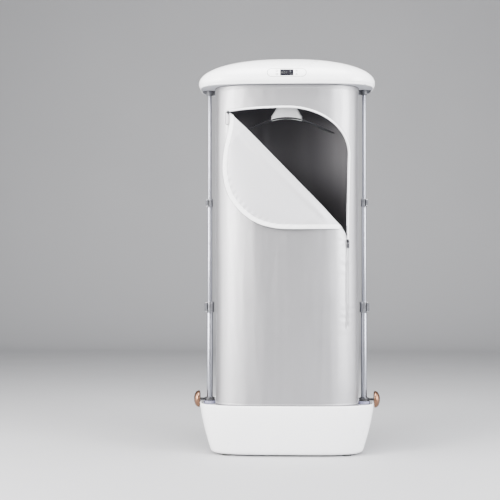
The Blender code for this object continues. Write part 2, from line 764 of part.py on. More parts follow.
# Collars and side knobs


def make_collar(side):
    place = pole_place(side)
    name = side_name(side)
    bore = LOWER_POLE_RADIUS + GAP
    count = 2 * NUT_RIBS
    low, high = DECK_TOP + GAP, DECK_TOP + GAP + NUT_HEIGHT

    def ribbed(radius, height):
        points = []
        for step in range(count):
            turn = 2 * math.pi * step / count
            reach = radius + NUT_RIB * (step % 2)
            points.append((reach * math.cos(turn), reach * math.sin(turn), height))
        return points

    top_radius = NUT_RADIUS - 2 * NUT_RIB
    shoulder = high - NUT_RIB
    rings = [ribbed(NUT_RADIUS - NUT_RIB, low), ribbed(NUT_RADIUS - NUT_RIB, shoulder)]
    rings += [circle(top_radius, high, count), circle(bore, high, count), circle(bore, low, count)]
    lofted(f"collar_nut_{name}", rings, "lavender_grey", True, place)
    base, top = high + GAP, high + GAP + RING_HEIGHT
    profile = [(bore, base), (RING_RADIUS, base), (RING_RADIUS, top - RING_CHAMFER)]
    profile += [(RING_RADIUS - RING_CHAMFER, top), (bore, top)]
    ring = turned(f"clamp_ring_{name}", profile, "dark_plastic", CLAMP_SIDES, True, place)
    reach = along_x(side * POLE_X, 0, KNOB_Z, side)
    radius = STEM_TIP_RADIUS + GAP
    cut(ring, rod(f"stem_hole_{name}", radius, 0, RING_RADIUS * 2, "dark_plastic", STEM_SIDES, reach))


def make_knob(side):
    name = side_name(side)
    place = along_x(0, 0, KNOB_Z, side)
    bore = STEM_RADIUS + GAP
    edge = KNOB_RADIUS - KNOB_EDGE
    profile = [
        (0, KNOB_INNER_X + KNOB_BORE_DEPTH),
        (bore, KNOB_INNER_X + KNOB_BORE_DEPTH),
        (bore, KNOB_INNER_X),
        (edge, KNOB_INNER_X),
        (KNOB_RADIUS, KNOB_INNER_X + KNOB_EDGE),
    ]
    dome_x = KNOB_INNER_X + KNOB_RIM
    for turn in KNOB_DOME_ANGLES:
        height = dome_x + (KNOB_OUTER_X - dome_x) * math.sin(turn)
        profile.append((KNOB_RADIUS * math.cos(turn), height))
    profile.append((0, KNOB_OUTER_X))
    knob = turned(f"side_knob_{name}", profile, "rose_gold", KNOB_SIDES, False, place)
    tip = POLE_X + LOWER_POLE_RADIUS + GAP
    shoulder = POLE_X + RING_RADIUS + GAP
    end = KNOB_INNER_X + KNOB_BORE_DEPTH - GAP
    profile = [(STEM_TIP_RADIUS, tip), (STEM_TIP_RADIUS, shoulder)]
    profile += [(STEM_RADIUS, shoulder), (STEM_RADIUS, end)]
    stem = turned(f"knob_stem_{name}", profile, "dark_plastic", STEM_SIDES, False, place)
    pivot_at((side * KNOB_INNER_X, 0, KNOB_Z), f"knob_axis_{name}", [knob, stem])


# Fabric tube, its hoops and its door


def tube_shell(name, inset, wall, low, high, finish):
    def ring(height, total):
        return outline(TUBE_HALF_WIDTH - total, TUBE_HALF_DEPTH - total, TUBE_POWER, height)

    rings = [ring(low, inset), ring(high, inset), ring(high, inset + wall), ring(low, inset + wall)]
    return lofted(name, rings, finish, True)


def tube_depth(x):
    share = min(abs(x) / TUBE_HALF_WIDTH, 1)
    return TUBE_HALF_DEPTH * (1 - share**TUBE_POWER) ** (1 / TUBE_POWER)


def inside_arch(x, z):
    # the right edge leans out on its way up to the shoulder, and a quarter of an ellipse goes on from there
    if x < 0:
        return z < DOOR_TOP - DOOR_DIP * (x / DOOR_LEFT[0]) ** 2
    if z < DOOR_SHOULDER:
        climb_share = (z - DOOR_RIGHT[1]) / (DOOR_SHOULDER - DOOR_RIGHT[1])
        return x < DOOR_RIGHT[0] + DOOR_LEAN * climb_share
    rise_share = (z - DOOR_SHOULDER) / (DOOR_TOP - DOOR_SHOULDER)
    return (x / (DOOR_RIGHT[0] + DOOR_LEAN)) ** 2 + rise_share**2 < 1


def arch_reach(share):
    # how far the arch lies from the fold line, measured square to that line
    foot = Vector(DOOR_LEFT) + FOLD_LINE * share
    near, far = 0, FOLD_LENGTH
    for _ in range(ARCH_HALVINGS):
        middle = (near + far) / 2
        point = foot + FOLD_ACROSS * middle
        if inside_arch(*point):
            near = middle
        else:
            far = middle
    return near


def flap_reach(share):
    # the flap's hem falls short of the arch towards its lower end
    trim = FLAP_TRIM * min(1, share / FLAP_TRIM_share) ** FLAP_TRIM_POWER
    return arch_reach(share) - trim


def flap_taper(share):
    # the flap lies flat at its two ends, where it is narrow
    return min(1, flap_reach(share) / FOLD_TAPER_REACH)


def arch_points():
    points = []
    for step in range(DOOR_STATIONS + 1):
        share = step / DOOR_STATIONS
        foot = Vector(DOOR_LEFT) + FOLD_LINE * share
        points.append(foot + FOLD_ACROSS * arch_reach(share))
    return points


def door_cutter(name):
    corner = Vector(DOOR_LEFT) + FOLD_LINE * FLAP_CORNER_share
    points = [Vector(DOOR_LEFT)] + arch_points() + [Vector(ZIP_REST), corner]
    return front_prism(name, points, -FAR, -DUCT_HALF_DEPTH - DUCT_FLANGE, "lining_fabric")


def make_cover():
    cover = tube_shell("fabric_cover", 0, COVER_WALL, TUBE_BOTTOM, TUBE_TOP, "pearl_fabric")
    cut(cover, door_cutter("door_cutter"))
    inset = COVER_WALL + GAP
    spans = {"top": (TUBE_TOP - HOOP_HEIGHT, TUBE_TOP), "bottom": (TUBE_BOTTOM, TUBE_BOTTOM + HOOP_HEIGHT)}
    hoops = {}
    for word, (low, high) in spans.items():
        hoops[word] = tube_shell(f"{word}_hoop", inset, HOOP_THICKNESS, low, high, "brushed_steel")
    inset += HOOP_THICKNESS + GAP
    lining = tube_shell("inner_lining", inset, LINING_WALL, TUBE_BOTTOM, TUBE_TOP, "lining_fabric")
    cut(lining, door_cutter("lining_door_cutter"))
    return hoops["top"]


def make_door_zip():
    # one band round the arch and on down the closed zip, lying on the cover
    band = tube_shell(
        "door_zip", -GAP - ZIP_THICKNESS, ZIP_THICKNESS, TUBE_BOTTOM, TUBE_TOP, "zip_tape"
    )
    path = [Vector(DOOR_LEFT)] + arch_points()
    path += [Vector(ZIP_REST), Vector((ZIP_REST[0], ZIP_END_Z))]
    outer, inner = [], []
    for step, point in enumerate(path):
        before, after = path[max(step - 1, 0)], path[min(step + 1, len(path) - 1)]
        along = (after - before).normalized()
        away = Vector((-along[1], along[0]))
        outer.append(point + away * ZIP_BAND)
        closed = point[1] <= ZIP_REST[1]
        inner.append(point - away * ZIP_BAND * closed)
    mask = front_prism("zip_mask", outer + inner[::-1], -FAR, 0, "zip_tape")
    return trim_to(band, mask)


def flap_section(share):
    # centre line of the folded flap, as (distance from the fold, distance off the wall)
    reach = flap_reach(share)
    taper = flap_taper(share)
    radius = FOLD_RADIUS * max(FOLD_LEAST_share, taper)
    middle = -COVER_WALL / 2 + radius
    line = [(-GAP, middle - radius)]
    for step in range(1, FOLD_STEPS + 1):
        turn = math.pi * step / FOLD_STEPS
        line.append((-GAP - radius * math.sin(turn), middle - radius * math.cos(turn)))
    for step in range(1, FLAP_STEPS + 1):
        part = step / FLAP_STEPS
        lift = FLAP_STAND_OFF * math.sin(math.pi * part) * taper
        line.append((reach * part, middle + radius + lift))
    return line


def flap_point(share, away, off):
    foot = Vector(DOOR_LEFT) + FOLD_LINE * share
    x, z = foot - FOLD_ACROSS * away
    relax = min(1, max(0, away) / FLAP_RELAX_REACH)
    wall = tube_depth(x)
    wall += FLAP_RELAX_share * relax * relax * flap_taper(share) * (TUBE_HALF_DEPTH - wall)
    return x, -wall - off, z


def make_flap():
    shares = [step / DOOR_STATIONS for step in range(DOOR_STATIONS + 1)]
    span_share = FLAP_END_share - FLAP_START_share
    shares = [FLAP_START_share + share * span_share for share in shares]
    rings = []
    for share in shares:
        line = [Vector(point) for point in flap_section(share)]
        faces = {1: [], -1: []}
        for step, point in enumerate(line):
            before, after = line[max(step - 1, 0)], line[min(step + 1, len(line) - 1)]
            along = (after - before).normalized()
            square = Vector((-along[1], along[0])) * FLAP_THICKNESS / 2
            for sign, row in faces.items():
                row.append(flap_point(share, *(point + square * sign)))
        rings.append(faces[1] + faces[-1][::-1])
    flap = lofted("door_flap", rings, "flap_fabric")
    middle = (Vector(DOOR_LEFT) + Vector(DOOR_RIGHT)) / 2
    pivot_at((middle[0], FLAP_AXIS_Y, middle[1]), "flap_axis", [flap])


# Zip sliders and pulls


def wall_place(x, z, out):
    # local X runs level along the wall, local Y points off it and local Z is up
    step = TUBE_HALF_WIDTH / PLAN_SIDES
    slope = (tube_depth(x + step) - tube_depth(x - step)) / (2 * step)
    off = Vector((-slope, -1, 0)).normalized()
    along = Vector((-off[1], off[0], 0))
    place = Matrix((along, off, Vector((0, 0, 1)))).transposed().to_4x4()
    place.translation = Vector((x, -tube_depth(x), z)) + off * out
    return place


def upright(place):
    # turns a prism's run, its local Z, to point off the wall, with the outline's Y upwards
    return place @ Matrix(((1, 0, 0, 0), (0, 0, 1, 0), (0, 1, 0, 0), (0, 0, 0, 1)))


def make_slider(word, x, z):
    place = wall_place(x, z, ZIP_THICKNESS + 2 * GAP)
    half, waist = SLIDER_HALF_WIDTH, SLIDER_HALF_WIDTH * SLIDER_WAIST_share
    tall = SLIDER_HALF_HEIGHT
    shield = [(-waist, -tall), (waist, -tall), (half, 0), (half, tall), (-half, tall), (-half, 0)]
    slider = prism(f"{word}_zip_slider", shield, 0, SLIDER_THICKNESS, "brushed_steel", upright(place))
    ring = BRIDGE_BORE + BRIDGE_WALL
    pivot = place @ Matrix.Translation((0, PULL_PIVOT_OUT, 0))
    level = pivot @ Matrix.Rotation(math.pi / 2, 4, "Y")
    reach = BRIDGE_HALF_WIDTH
    bridge = rod(f"{word}_bridge", ring, -reach, reach, "brushed_steel", STEM_SIDES, level)
    bore = rod(f"{word}_bridge_bore", BRIDGE_BORE, -ring, ring, "brushed_steel", STEM_SIDES, level)
    cut(fuse(slider, bridge), bore)
    return slider, pivot


def rounded(half_width, top, bottom, corner):
    # an upright outline with its two lower corners rounded
    steps = PULL_CORNER_STEPS
    points = [(half_width, top), (-half_width, top)]
    points += arc(corner, math.pi, 1.5 * math.pi, steps, (-half_width + corner, bottom + corner))
    points += arc(corner, 1.5 * math.pi, 2 * math.pi, steps, (half_width - corner, bottom + corner))
    return points


def make_pull(word, pivot, half_width, length, eye_bottom):
    half_bar = PULL_THICKNESS / 2
    place = upright(pivot)
    blank = rounded(half_width, half_bar, -length, half_width * PULL_CORNER_share * 2)
    pull = prism(f"{word}_zip_pull", blank, -half_bar, half_bar, "brushed_steel", place)
    inner = half_width - PULL_BORDER
    eye = rounded(inner, -half_bar, -eye_bottom, inner * PULL_CORNER_share)
    hole = prism(f"{word}_pull_eye", eye, -half_bar - GAP, half_bar + GAP, "brushed_steel", place)
    return cut(pull, hole)


def make_zip_ends():
    slider, pivot = make_slider("right", *ZIP_REST)
    pull = make_pull("right", pivot, RIGHT_PULL_HALF_WIDTH, RIGHT_PULL_LENGTH, RIGHT_PULL_EYE)
    pivot_at(pivot.translation, "right_pull_axis", [pull])
    pivot_at(pivot.translation, "right_slider_axis", [slider])
    slider, pivot = make_slider("left", *LEFT_SLIDER)
    foot = LEFT_PULL_LENGTH - LEFT_PULL_FOOT
    pull = make_pull("left", pivot, LEFT_PULL_HALF_WIDTH, LEFT_PULL_LENGTH, foot)
    pivot_at(pivot.translation, "left_pull_axis", [pull])
    pivot_at(pivot.translation, "left_slider_axis", [slider])


# Lid


def lid_ring(height, inset, share=1):
    power = LID_CROWN_POWER + (HOUSING_POWER - LID_CROWN_POWER) * share
    return outline(LID_HALF_WIDTH * share - inset, LID_HALF_DEPTH * share - inset, power, height)


def lid_skirt_inset(height):
    drop_share = (LID_WIDEST_Z - height) / (LID_WIDEST_Z - LID_BOTTOM)
    return LID_CURL * drop_share**2


def lid_rings():
    groove = LID_GROOVE
    rings = [lid_ring(LID_BOTTOM, LID_CURL)]
    for height, depth in ((LID_GROOVE_Z - groove, 0), (LID_GROOVE_Z, groove), (LID_GROOVE_Z + groove, 0)):
        rings.append(lid_ring(height, lid_skirt_inset(height) + depth))
    rise = LID_TOP - LID_WIDEST_Z
    for turn in DOME_ANGLES:
        rings.append(lid_ring(LID_WIDEST_Z + rise * math.sin(turn), 0, math.cos(turn)))
    rings.append([(0, 0, LID_TOP)])
    rings.append([(0, 0, LID_TOP - LID_WALL)])
    inner_rise = rise - LID_WALL
    for turn in DOME_ANGLES[-2::-1]:
        rings.append(lid_ring(LID_WIDEST_Z + inner_rise * math.sin(turn), LID_WALL, math.cos(turn)))
    rings.append(lid_ring(LID_BOTTOM, LID_CURL + LID_WALL))
    return rings


def make_lid_blank(name, finish):
    # both domes end in a tip, so the shell is one skin that runs from lip to crown and back
    rings = lid_rings()
    tips = [index for index, ring in enumerate(rings) if len(ring) == 1]
    mesh = bmesh.new()
    loops = [[mesh.verts.new(point) for point in ring] for ring in rings]
    pairs = [(loops[i], loops[i + 1]) for i in range(len(loops) - 1) if i != tips[0]]
    pairs.append((loops[-1], loops[0]))
    for first, second in pairs:
        for step in range(PLAN_SIDES):
            after = (step + 1) % PLAN_SIDES
            corners = [first[step % len(first)], first[after % len(first)]]
            corners += [second[after % len(second)], second[step % len(second)]]
            mesh.faces.new(list(dict.fromkeys(corners)))
    return finished(name, mesh, finish)


def panel_outline(gap):
    radius = PANEL_HALF_HEIGHT - gap
    straight = PANEL_HALF_WIDTH - PANEL_HALF_HEIGHT
    right = arc(radius, -math.pi / 2, math.pi / 2, PANEL_ARC_STEPS, (straight, PANEL_Z))
    left = arc(radius, math.pi / 2, 1.5 * math.pi, PANEL_ARC_STEPS, (-straight, PANEL_Z))
    return right + left


def window_outline(gap):
    x, z = WINDOW_HALF_WIDTH - gap, WINDOW_HALF_HEIGHT - gap
    return [(-x, PANEL_Z - z), (x, PANEL_Z - z), (x, PANEL_Z + z), (-x, PANEL_Z + z)]


def make_lid_shell():
    lid = make_lid_blank("lid_shell", "gloss_white")
    cut(lid, front_prism("panel_hole", panel_outline(0), -FAR, 0, "gloss_white"))
    panel = make_lid_blank("control_panel", "gloss_white")
    trim_to(panel, front_prism("panel_mask", panel_outline(GAP), -FAR, 0, "gloss_white"))
    cut(panel, front_prism("window_hole", window_outline(0), -FAR, 0, "gloss_white"))
    window = make_lid_blank("display_window", "screen_glass")
    trim_to(window, front_prism("window_mask", window_outline(GAP), -FAR, 0, "screen_glass"))
    return [lid, panel, window]


def make_lid_tray():
    inset = LID_CURL + LID_WALL + GAP
    rings = [lid_ring(TRAY_BOTTOM, inset), lid_ring(TRAY_TOP, inset)]
    tray = lofted("lid_tray", rings, "satin_grey")
    hole = duct_ring(DUCT_TOP_HALF_WIDTH + GAP, DUCT_HALF_DEPTH + GAP, 0)
    top = duct_ring(DUCT_TOP_HALF_WIDTH + GAP, DUCT_HALF_DEPTH + GAP, LID_TOP)
    return cut(tray, lofted("duct_hole", [hole, top], "satin_grey"))


def make_bracket(side):
    # a socket for the pole with a raking rib on each side, moulded in one
    place = pole_place(side)
    name = side_name(side)
    top, bottom = TRAY_BOTTOM - GAP, TRAY_BOTTOM - BRACKET_DROP
    bore = UPPER_POLE_RADIUS + GAP
    radius = bore + BRACKET_WALL
    bracket = rod(f"pole_bracket_{name}", radius, bottom, top, "satin_grey", CLAMP_SIDES, place)
    ribs = [(-BRACKET_INBOARD, top), (-BRACKET_INBOARD, bottom + BRACKET_TIP / 2), (-radius, bottom)]
    ribs += [(radius, bottom), (BRACKET_OUTBOARD, top - BRACKET_TIP), (BRACKET_OUTBOARD, top)]
    sides = [[(x, y, z) for x, z in ribs] for y in (-BRACKET_RIB / 2, BRACKET_RIB / 2)]
    fuse(bracket, lofted(f"bracket_ribs_{name}", sides, "satin_grey", False, place))
    well_low = bottom - CUT_OVERRUN
    well = rod(f"bracket_bore_{name}", bore, well_low, LID_TOP, "satin_grey", POLE_SIDES, place)
    return cut(bracket, well)


# Blower, heater, duct and hanger


def make_control_board():
    y = -BOARD_Y_share * LID_HALF_DEPTH
    low = TRAY_TOP + GAP + BOARD_POST
    corner = (BOARD_HALF_WIDTH, BOARD_HALF_DEPTH)
    board = box(
        "control_board",
        (-corner[0], y - corner[1], low),
        (corner[0], y + corner[1], low + BOARD_THICKNESS),
        "board_green",
    )
    inner = (corner[0] - 2 * BOARD_POST_RADIUS, corner[1] - 2 * BOARD_POST_RADIUS)
    for index, (across, along) in enumerate(((-1, -1), (1, -1), (1, 1), (-1, 1))):
        place = Matrix.Translation((across * inner[0], y + along * inner[1], 0))
        top = low + BOARD_THICKNESS / 2
        sizes = (BOARD_POST_RADIUS, TRAY_TOP + GAP, top)
        fuse(board, rod(f"board_post_{index}", *sizes, "board_green", BOARD_POST_SIDES, place))
    for index, share in enumerate(BOARD_CHIP_shares):
        x = share * corner[0]
        chip_low = (x - BOARD_CHIP, y - BOARD_CHIP, low + BOARD_THICKNESS / 2)
        chip_high = (x + BOARD_CHIP, y + BOARD_CHIP, low + BOARD_THICKNESS + BOARD_CHIP_HEIGHT)
        fuse(board, box(f"board_chip_{index}", chip_low, chip_high, "board_green"))
    return board


def make_blower():
    base = TRAY_TOP + GAP
    top = base + FAN_HEIGHT
    inner = FAN_RADIUS - FAN_WALL
    shaft = MOTOR_SHAFT_RADIUS + GAP
    profile = [
        (inner, base),
        (FAN_RADIUS + FAN_FLANGE, base),
        (FAN_RADIUS + FAN_FLANGE, base + FAN_WALL),
        (FAN_RADIUS, base + FAN_WALL),
        (FAN_RADIUS, top),
        (shaft, top),
        (shaft, top - FAN_WALL),
        (inner, top - FAN_WALL),
    ]
    housing = turned("fan_housing", profile, "dark_plastic", FAN_SIDES, True)
    motor_low = top + GAP
    plate_top = top - FAN_WALL - IMPELLER_CLEARANCE
    hub_low = plate_top - IMPELLER_HUB
    profile = [
        (0, hub_low + GAP),
        (MOTOR_SHAFT_RADIUS, hub_low + GAP),
        (MOTOR_SHAFT_RADIUS, motor_low),
        (MOTOR_RADIUS, motor_low),
        (MOTOR_RADIUS, motor_low + MOTOR_HEIGHT - EDGE_CHAMFER),
        (MOTOR_RADIUS - EDGE_CHAMFER, motor_low + MOTOR_HEIGHT),
        (0, motor_low + MOTOR_HEIGHT),
    ]
    motor = turned("fan_motor", profile, "brushed_steel", FAN_SIDES)
    impeller = make_impeller(plate_top, hub_low)
    pivot_at((0, 0, plate_top), "impeller_axis", [impeller])
    return [housing, motor]


def make_impeller(plate_top, hub_low):
    shaft = MOTOR_SHAFT_RADIUS + GAP
    hub = shaft + IMPELLER_HUB / 2
    plate_low = plate_top - IMPELLER_PLATE
    profile = [(shaft, plate_top), (IMPELLER_RADIUS, plate_top), (IMPELLER_RADIUS, plate_low)]
    profile += [(hub, plate_low), (hub, hub_low), (shaft, hub_low)]
    impeller = turned("fan_impeller", profile, "dark_plastic", FAN_SIDES, True)
    blades = bmesh.new()
    for index in range(BLADE_COUNT):
        turn = 2 * math.pi * index / BLADE_COUNT
        add_blade(blades, turn, plate_low - BLADE_HEIGHT, plate_low + IMPELLER_PLATE / 2)
    return fuse(impeller, finished("impeller_blades", blades, "dark_plastic"))


def add_blade(mesh, turn, low, high):
    inner_radius = IMPELLER_RADIUS * BLADE_INNER_share
    rings = []
    for step in range(BLADE_STEPS + 1):
        share = step / BLADE_STEPS
        radius = inner_radius + (IMPELLER_RADIUS - GAP - inner_radius) * share
        swept = turn + BLADE_SWEEP * share * share
        half = BLADE_WALL / 2 / radius
        corners = [(swept - half, low), (swept + half, low), (swept + half, high), (swept - half, high)]
        points = [(radius * math.cos(angle), radius * math.sin(angle), level) for angle, level in corners]
        rings.append([mesh.verts.new(point) for point in points])
    for first, second in zip(rings, rings[1:]):
        for step in range(4):
            after = (step + 1) % 4
            mesh.faces.new((first[step], first[after], second[after], second[step]))
    mesh.faces.new(rings[0])
    mesh.faces.new(rings[-1])


def duct_ring(half_width, half_depth, height):
    return outline(half_width, half_depth, BLOCK_POWER, height, DUCT_SIDES)


def make_duct():
    wall = DUCT_WALL
    neck, wide, deep = DUCT_TOP_HALF_WIDTH, DUCT_HALF_WIDTH, DUCT_HALF_DEPTH
    seat = TRAY_TOP + GAP
    top = seat + wall
    rings = [
        duct_ring(wide, deep, DUCT_BOTTOM_Z),
        duct_ring(wide, deep, DUCT_SHOULDER_Z),
        duct_ring(neck, deep, DUCT_NECK_Z),
        duct_ring(neck, deep, seat),
        duct_ring(neck + DUCT_FLANGE, deep + DUCT_FLANGE, seat),
        duct_ring(neck + DUCT_FLANGE, deep + DUCT_FLANGE, top),
        duct_ring(neck - wall, deep - wall, top),
        duct_ring(neck - wall, deep - wall, DUCT_NECK_Z),
        duct_ring(wide - wall, deep - wall, DUCT_SHOULDER_Z),
        duct_ring(wide - wall, deep - wall, DUCT_BOTTOM_Z),
    ]
    duct = lofted("air_duct", rings, "gloss_white", True)
    radius = (wide**2 + DUCT_ARCH**2) / (2 * DUCT_ARCH)
    centre_z = DUCT_BOTTOM_Z + DUCT_ARCH - radius
    half_turn = math.asin((wide + CUT_OVERRUN) / radius)
    bow = arc(radius, math.pi / 2 - half_turn, math.pi / 2 + half_turn, DUCT_SIDES, (0, centre_z))
    edge = wide + CUT_OVERRUN
    floor_z = DUCT_BOTTOM_Z - DUCT_ARCH
    bow += [(-edge, floor_z), (edge, floor_z)]
    cut(duct, front_prism("duct_arch_cutter", bow, -FAR, FAR, "gloss_white"))
    return cut(duct, make_hanger("hanger_slot", GAP))


def make_hanger(name, gap):
    rings = []
    for step in range(-HANGER_STATIONS, HANGER_STATIONS + 1):
        share = step / HANGER_STATIONS
        x = share * (HANGER_HALF_SPAN + gap)
        past = max(0, abs(x) - HANGER_BEND)
        drop = math.tan(HANGER_SLOPE) * past * past / (past + HANGER_BEND)
        half_depth = HANGER_ROOT_HALF_DEPTH + (HANGER_TIP_HALF_DEPTH - HANGER_ROOT_HALF_DEPTH) * abs(share)
        rounding = math.sqrt(1 - share**HANGER_TIP_POWER)
        tip = HANGER_TIP_share + (1 - HANGER_TIP_share) * rounding
        half_depth = half_depth * tip + gap
        half_height = HANGER_HALF_HEIGHT * tip + gap
        section = outline(half_depth, half_height, HANGER_POWER, 0, HANGER_SIDES)
        rings.append([(x, y, HANGER_Z - drop + z) for y, z, _ in section])
    return lofted(name, rings, "dark_plastic")


def make_heater():
    half_width = DUCT_TOP_HALF_WIDTH - DUCT_WALL - GAP
    half_depth = DUCT_HALF_DEPTH - DUCT_WALL - GAP
    high = TRAY_TOP + GAP + DUCT_WALL
    low = high - HEATER_HEIGHT
    rings = [duct_ring(half_width, half_depth, low), duct_ring(half_width, half_depth, high)]
    heater = lofted("air_heater", rings, "cast_aluminium")
    span = 2 * (half_width - HEATER_BORDER)
    pitch = span / HEATER_SLOTS
    for index in range(HEATER_SLOTS):
        x = -span / 2 + pitch * (index + 0.5)
        half_slot = pitch * HEATER_SLOT_share / 2
        slot_low = (x - half_slot, -half_depth + HEATER_BORDER, low - CUT_OVERRUN)
        slot_high = (x + half_slot, half_depth - HEATER_BORDER, high + CUT_OVERRUN)
        cut(heater, box(f"heater_slot_{index}", slot_low, slot_high, "cast_aluminium"))
    return heater


# Water and steam


def make_tank():
    low, high = tank_box(GAP)
    rings = [base_ring(low[2] + share * (high[2] - low[2]), 0) for share in TANK_RING_shares]
    tank = lofted("water_tank", rings, "tank_clear")
    trim_to(tank, box("tank_mask", (low[0], low[1], 0), (high[0], FAR, BASE_TOP), "tank_clear"))
    face_y = BASE_HALF_DEPTH - base_inset(TANK_TOP_Z) - TANK_FACE_DEPTH
    step_low = (low[0] - CUT_OVERRUN, 0, TANK_TOP_Z)
    cut(tank, box("tank_step", step_low, (-step_low[0], face_y, BASE_TOP), "tank_clear"))
    back_y = BASE_HALF_DEPTH - base_inset(low[2]) - TANK_FACE_DEPTH - GRIP_DEPTH
    hollow_low = (low[0] + TANK_WALL, low[1] + TANK_WALL, low[2] + TANK_WALL)
    hollow_high = (-hollow_low[0], back_y, TANK_TOP_Z - TANK_WALL)
    cut(tank, box("tank_hollow", hollow_low, hollow_high, "tank_clear"))
    place = Matrix.Translation((0, FILLER_Y, 0))
    neck_low = TANK_TOP_Z - 2 * TANK_WALL
    cut(tank, rod("filler_hole", FILLER_RADIUS, neck_low, BASE_TOP, "tank_clear", CLAMP_SIDES, place))
    grip_y = BASE_HALF_DEPTH - base_inset(GRIP_Z)
    mouth = outline(GRIP_HALF_WIDTH, GRIP_HALF_HEIGHT, GRIP_POWER, 0, DUCT_SIDES)
    grip = [(x, GRIP_Z + z) for x, z, _ in mouth]
    cut(tank, front_prism("grip_cutter", grip, grip_y - GRIP_DEPTH, FAR, "tank_clear"))
    plug = FILLER_RADIUS - CAP_WALL
    seat = TANK_TOP_Z + GAP
    profile = [
        (0, seat + CAP_HEIGHT),
        (CAP_RADIUS - EDGE_CHAMFER, seat + CAP_HEIGHT),
        (CAP_RADIUS, seat + CAP_HEIGHT - EDGE_CHAMFER),
        (CAP_RADIUS, seat),
        (plug, seat),
        (plug - CAP_WALL, TANK_TOP_Z - CAP_PLUG),
        (0, TANK_TOP_Z - CAP_PLUG),
    ]
    cap = turned("tank_cap", profile, "silicone", CLAMP_SIDES, False, place)
    pivot_at((0, FILLER_Y, seat), "cap_axis", [cap])
    pivot_at((0, TANK_FRONT_Y, low[2]), "tank_axis", [tank])


def make_boiler():
    place = along_x(BOILER_X, BOILER_Y, BOILER_Z)
    half = BOILER_HALF_LENGTH
    flange = BOILER_RADIUS + BOILER_FLANGE
    width = BOILER_FLANGE_WIDTH
    profile = [(0, -half), (BOILER_RADIUS, -half)]
    pitch = 2 * half / (BOILER_RIBS + 1)
    for index in range(1, BOILER_RIBS + 1):
        middle = -half + pitch * index
        profile += [(BOILER_RADIUS, middle - width / 2), (flange, middle - width / 2)]
        profile += [(flange, middle + width / 2), (BOILER_RADIUS, middle + width / 2)]
    profile += [(BOILER_RADIUS, half), (0, half)]
    boiler = turned("steam_generator", profile, "cast_aluminium", BOILER_SIDES, False, place)
    for index, side in enumerate((-1, 1)):
        x = BOILER_X + side * half * SADDLE_X_share
        low = (x - SADDLE_THICKNESS / 2, BOILER_Y - SADDLE_HALF_WIDTH, FLOOR_TOP + GAP)
        high = (x + SADDLE_THICKNESS / 2, BOILER_Y + SADDLE_HALF_WIDTH, BOILER_Z)
        fuse(boiler, box(f"saddle_{index}", low, high, "cast_aluminium"))
    return boiler


def make_pump():
    place = Matrix.Translation((PUMP_X, PUMP_Y, PUMP_Z)) @ Matrix.Rotation(math.pi / 2, 4, "X")
    pump = rod("water_pump", PUMP_RADIUS, 0, PUMP_LENGTH, "dark_plastic", CLAMP_SIDES, place)
    half = PUMP_HEAD / 2
    low = (PUMP_X - half - EDGE_CHAMFER, PUMP_Y - half, FLOOR_TOP + GAP)
    high = (PUMP_X + half + EDGE_CHAMFER, PUMP_Y + half, PUMP_Z + half)
    fuse(pump, box("pump_head", low, high, "dark_plastic"))
    # the spout that draws from the tank's front wall
    spout_place = Matrix.Translation((PUMP_X, TANK_FRONT_Y - GAP, PUMP_Z))
    spout_place = spout_place @ Matrix.Rotation(math.pi / 2, 4, "X")
    length = TANK_FRONT_Y - PUMP_Y
    spout = rod("pump_spout", HOSE_RADIUS, 0, length, "dark_plastic", STEM_SIDES, spout_place)
    return fuse(pump, spout)


def hose(name, start, start_way, end, end_way, radius, finish):
    # a smooth tube that leaves start along start_way and comes into end along end_way
    route = bpy.data.curves.new(name, "CURVE")
    route.dimensions = "3D"
    route.bevel_depth = radius
    route.bevel_resolution = HOSE_SIDES
    route.use_fill_caps = True
    line = route.splines.new("POLY")
    line.points.add(HOSE_POINTS + 2)
    first = Vector(start) + Vector(start_way).normalized() * radius
    last = Vector(end) + Vector(end_way).normalized() * radius
    leave, enter = first + Vector(start_way), last + Vector(end_way)
    points = [Vector(start)]
    for step in range(HOSE_POINTS + 1):
        t = step / HOSE_POINTS
        s = 1 - t
        points.append(first * s**3 + leave * 3 * s * s * t + enter * 3 * s * t * t + last * t**3)
    points.append(Vector(end))
    for node, point in zip(line.points, points):
        node.co = (*point, 1)
    route.materials.append(finish_material(finish))
    piece = bpy.data.objects.new(name, route)
    bpy.context.collection.objects.link(piece)
    return piece


def make_hoses():
    half = PUMP_HEAD / 2
    start = (PUMP_X - half - EDGE_CHAMFER - GAP, PUMP_Y, PUMP_Z)
    end = (BOILER_X + BOILER_HALF_LENGTH + GAP, BOILER_Y, BOILER_Z)
    arm = HOSE_ARM
    hose("water_hose", start, (-arm, 0, 0), end, (arm, 0, 0), HOSE_RADIUS, "silicone")
    between_ribs = BOILER_HALF_LENGTH / (BOILER_RIBS + 1)
    start = (BOILER_X + between_ribs, BOILER_Y, BOILER_Z + BOILER_RADIUS + GAP)
    end = (0, NOZZLE_Y, DECK_TOP - NOZZLE_STEM_LENGTH - GAP)
    arm = HOSE_ARM
    hose("steam_hose", start, (0, 0, arm), end, (0, 0, -arm), STEAM_HOSE_RADIUS, "silicone")


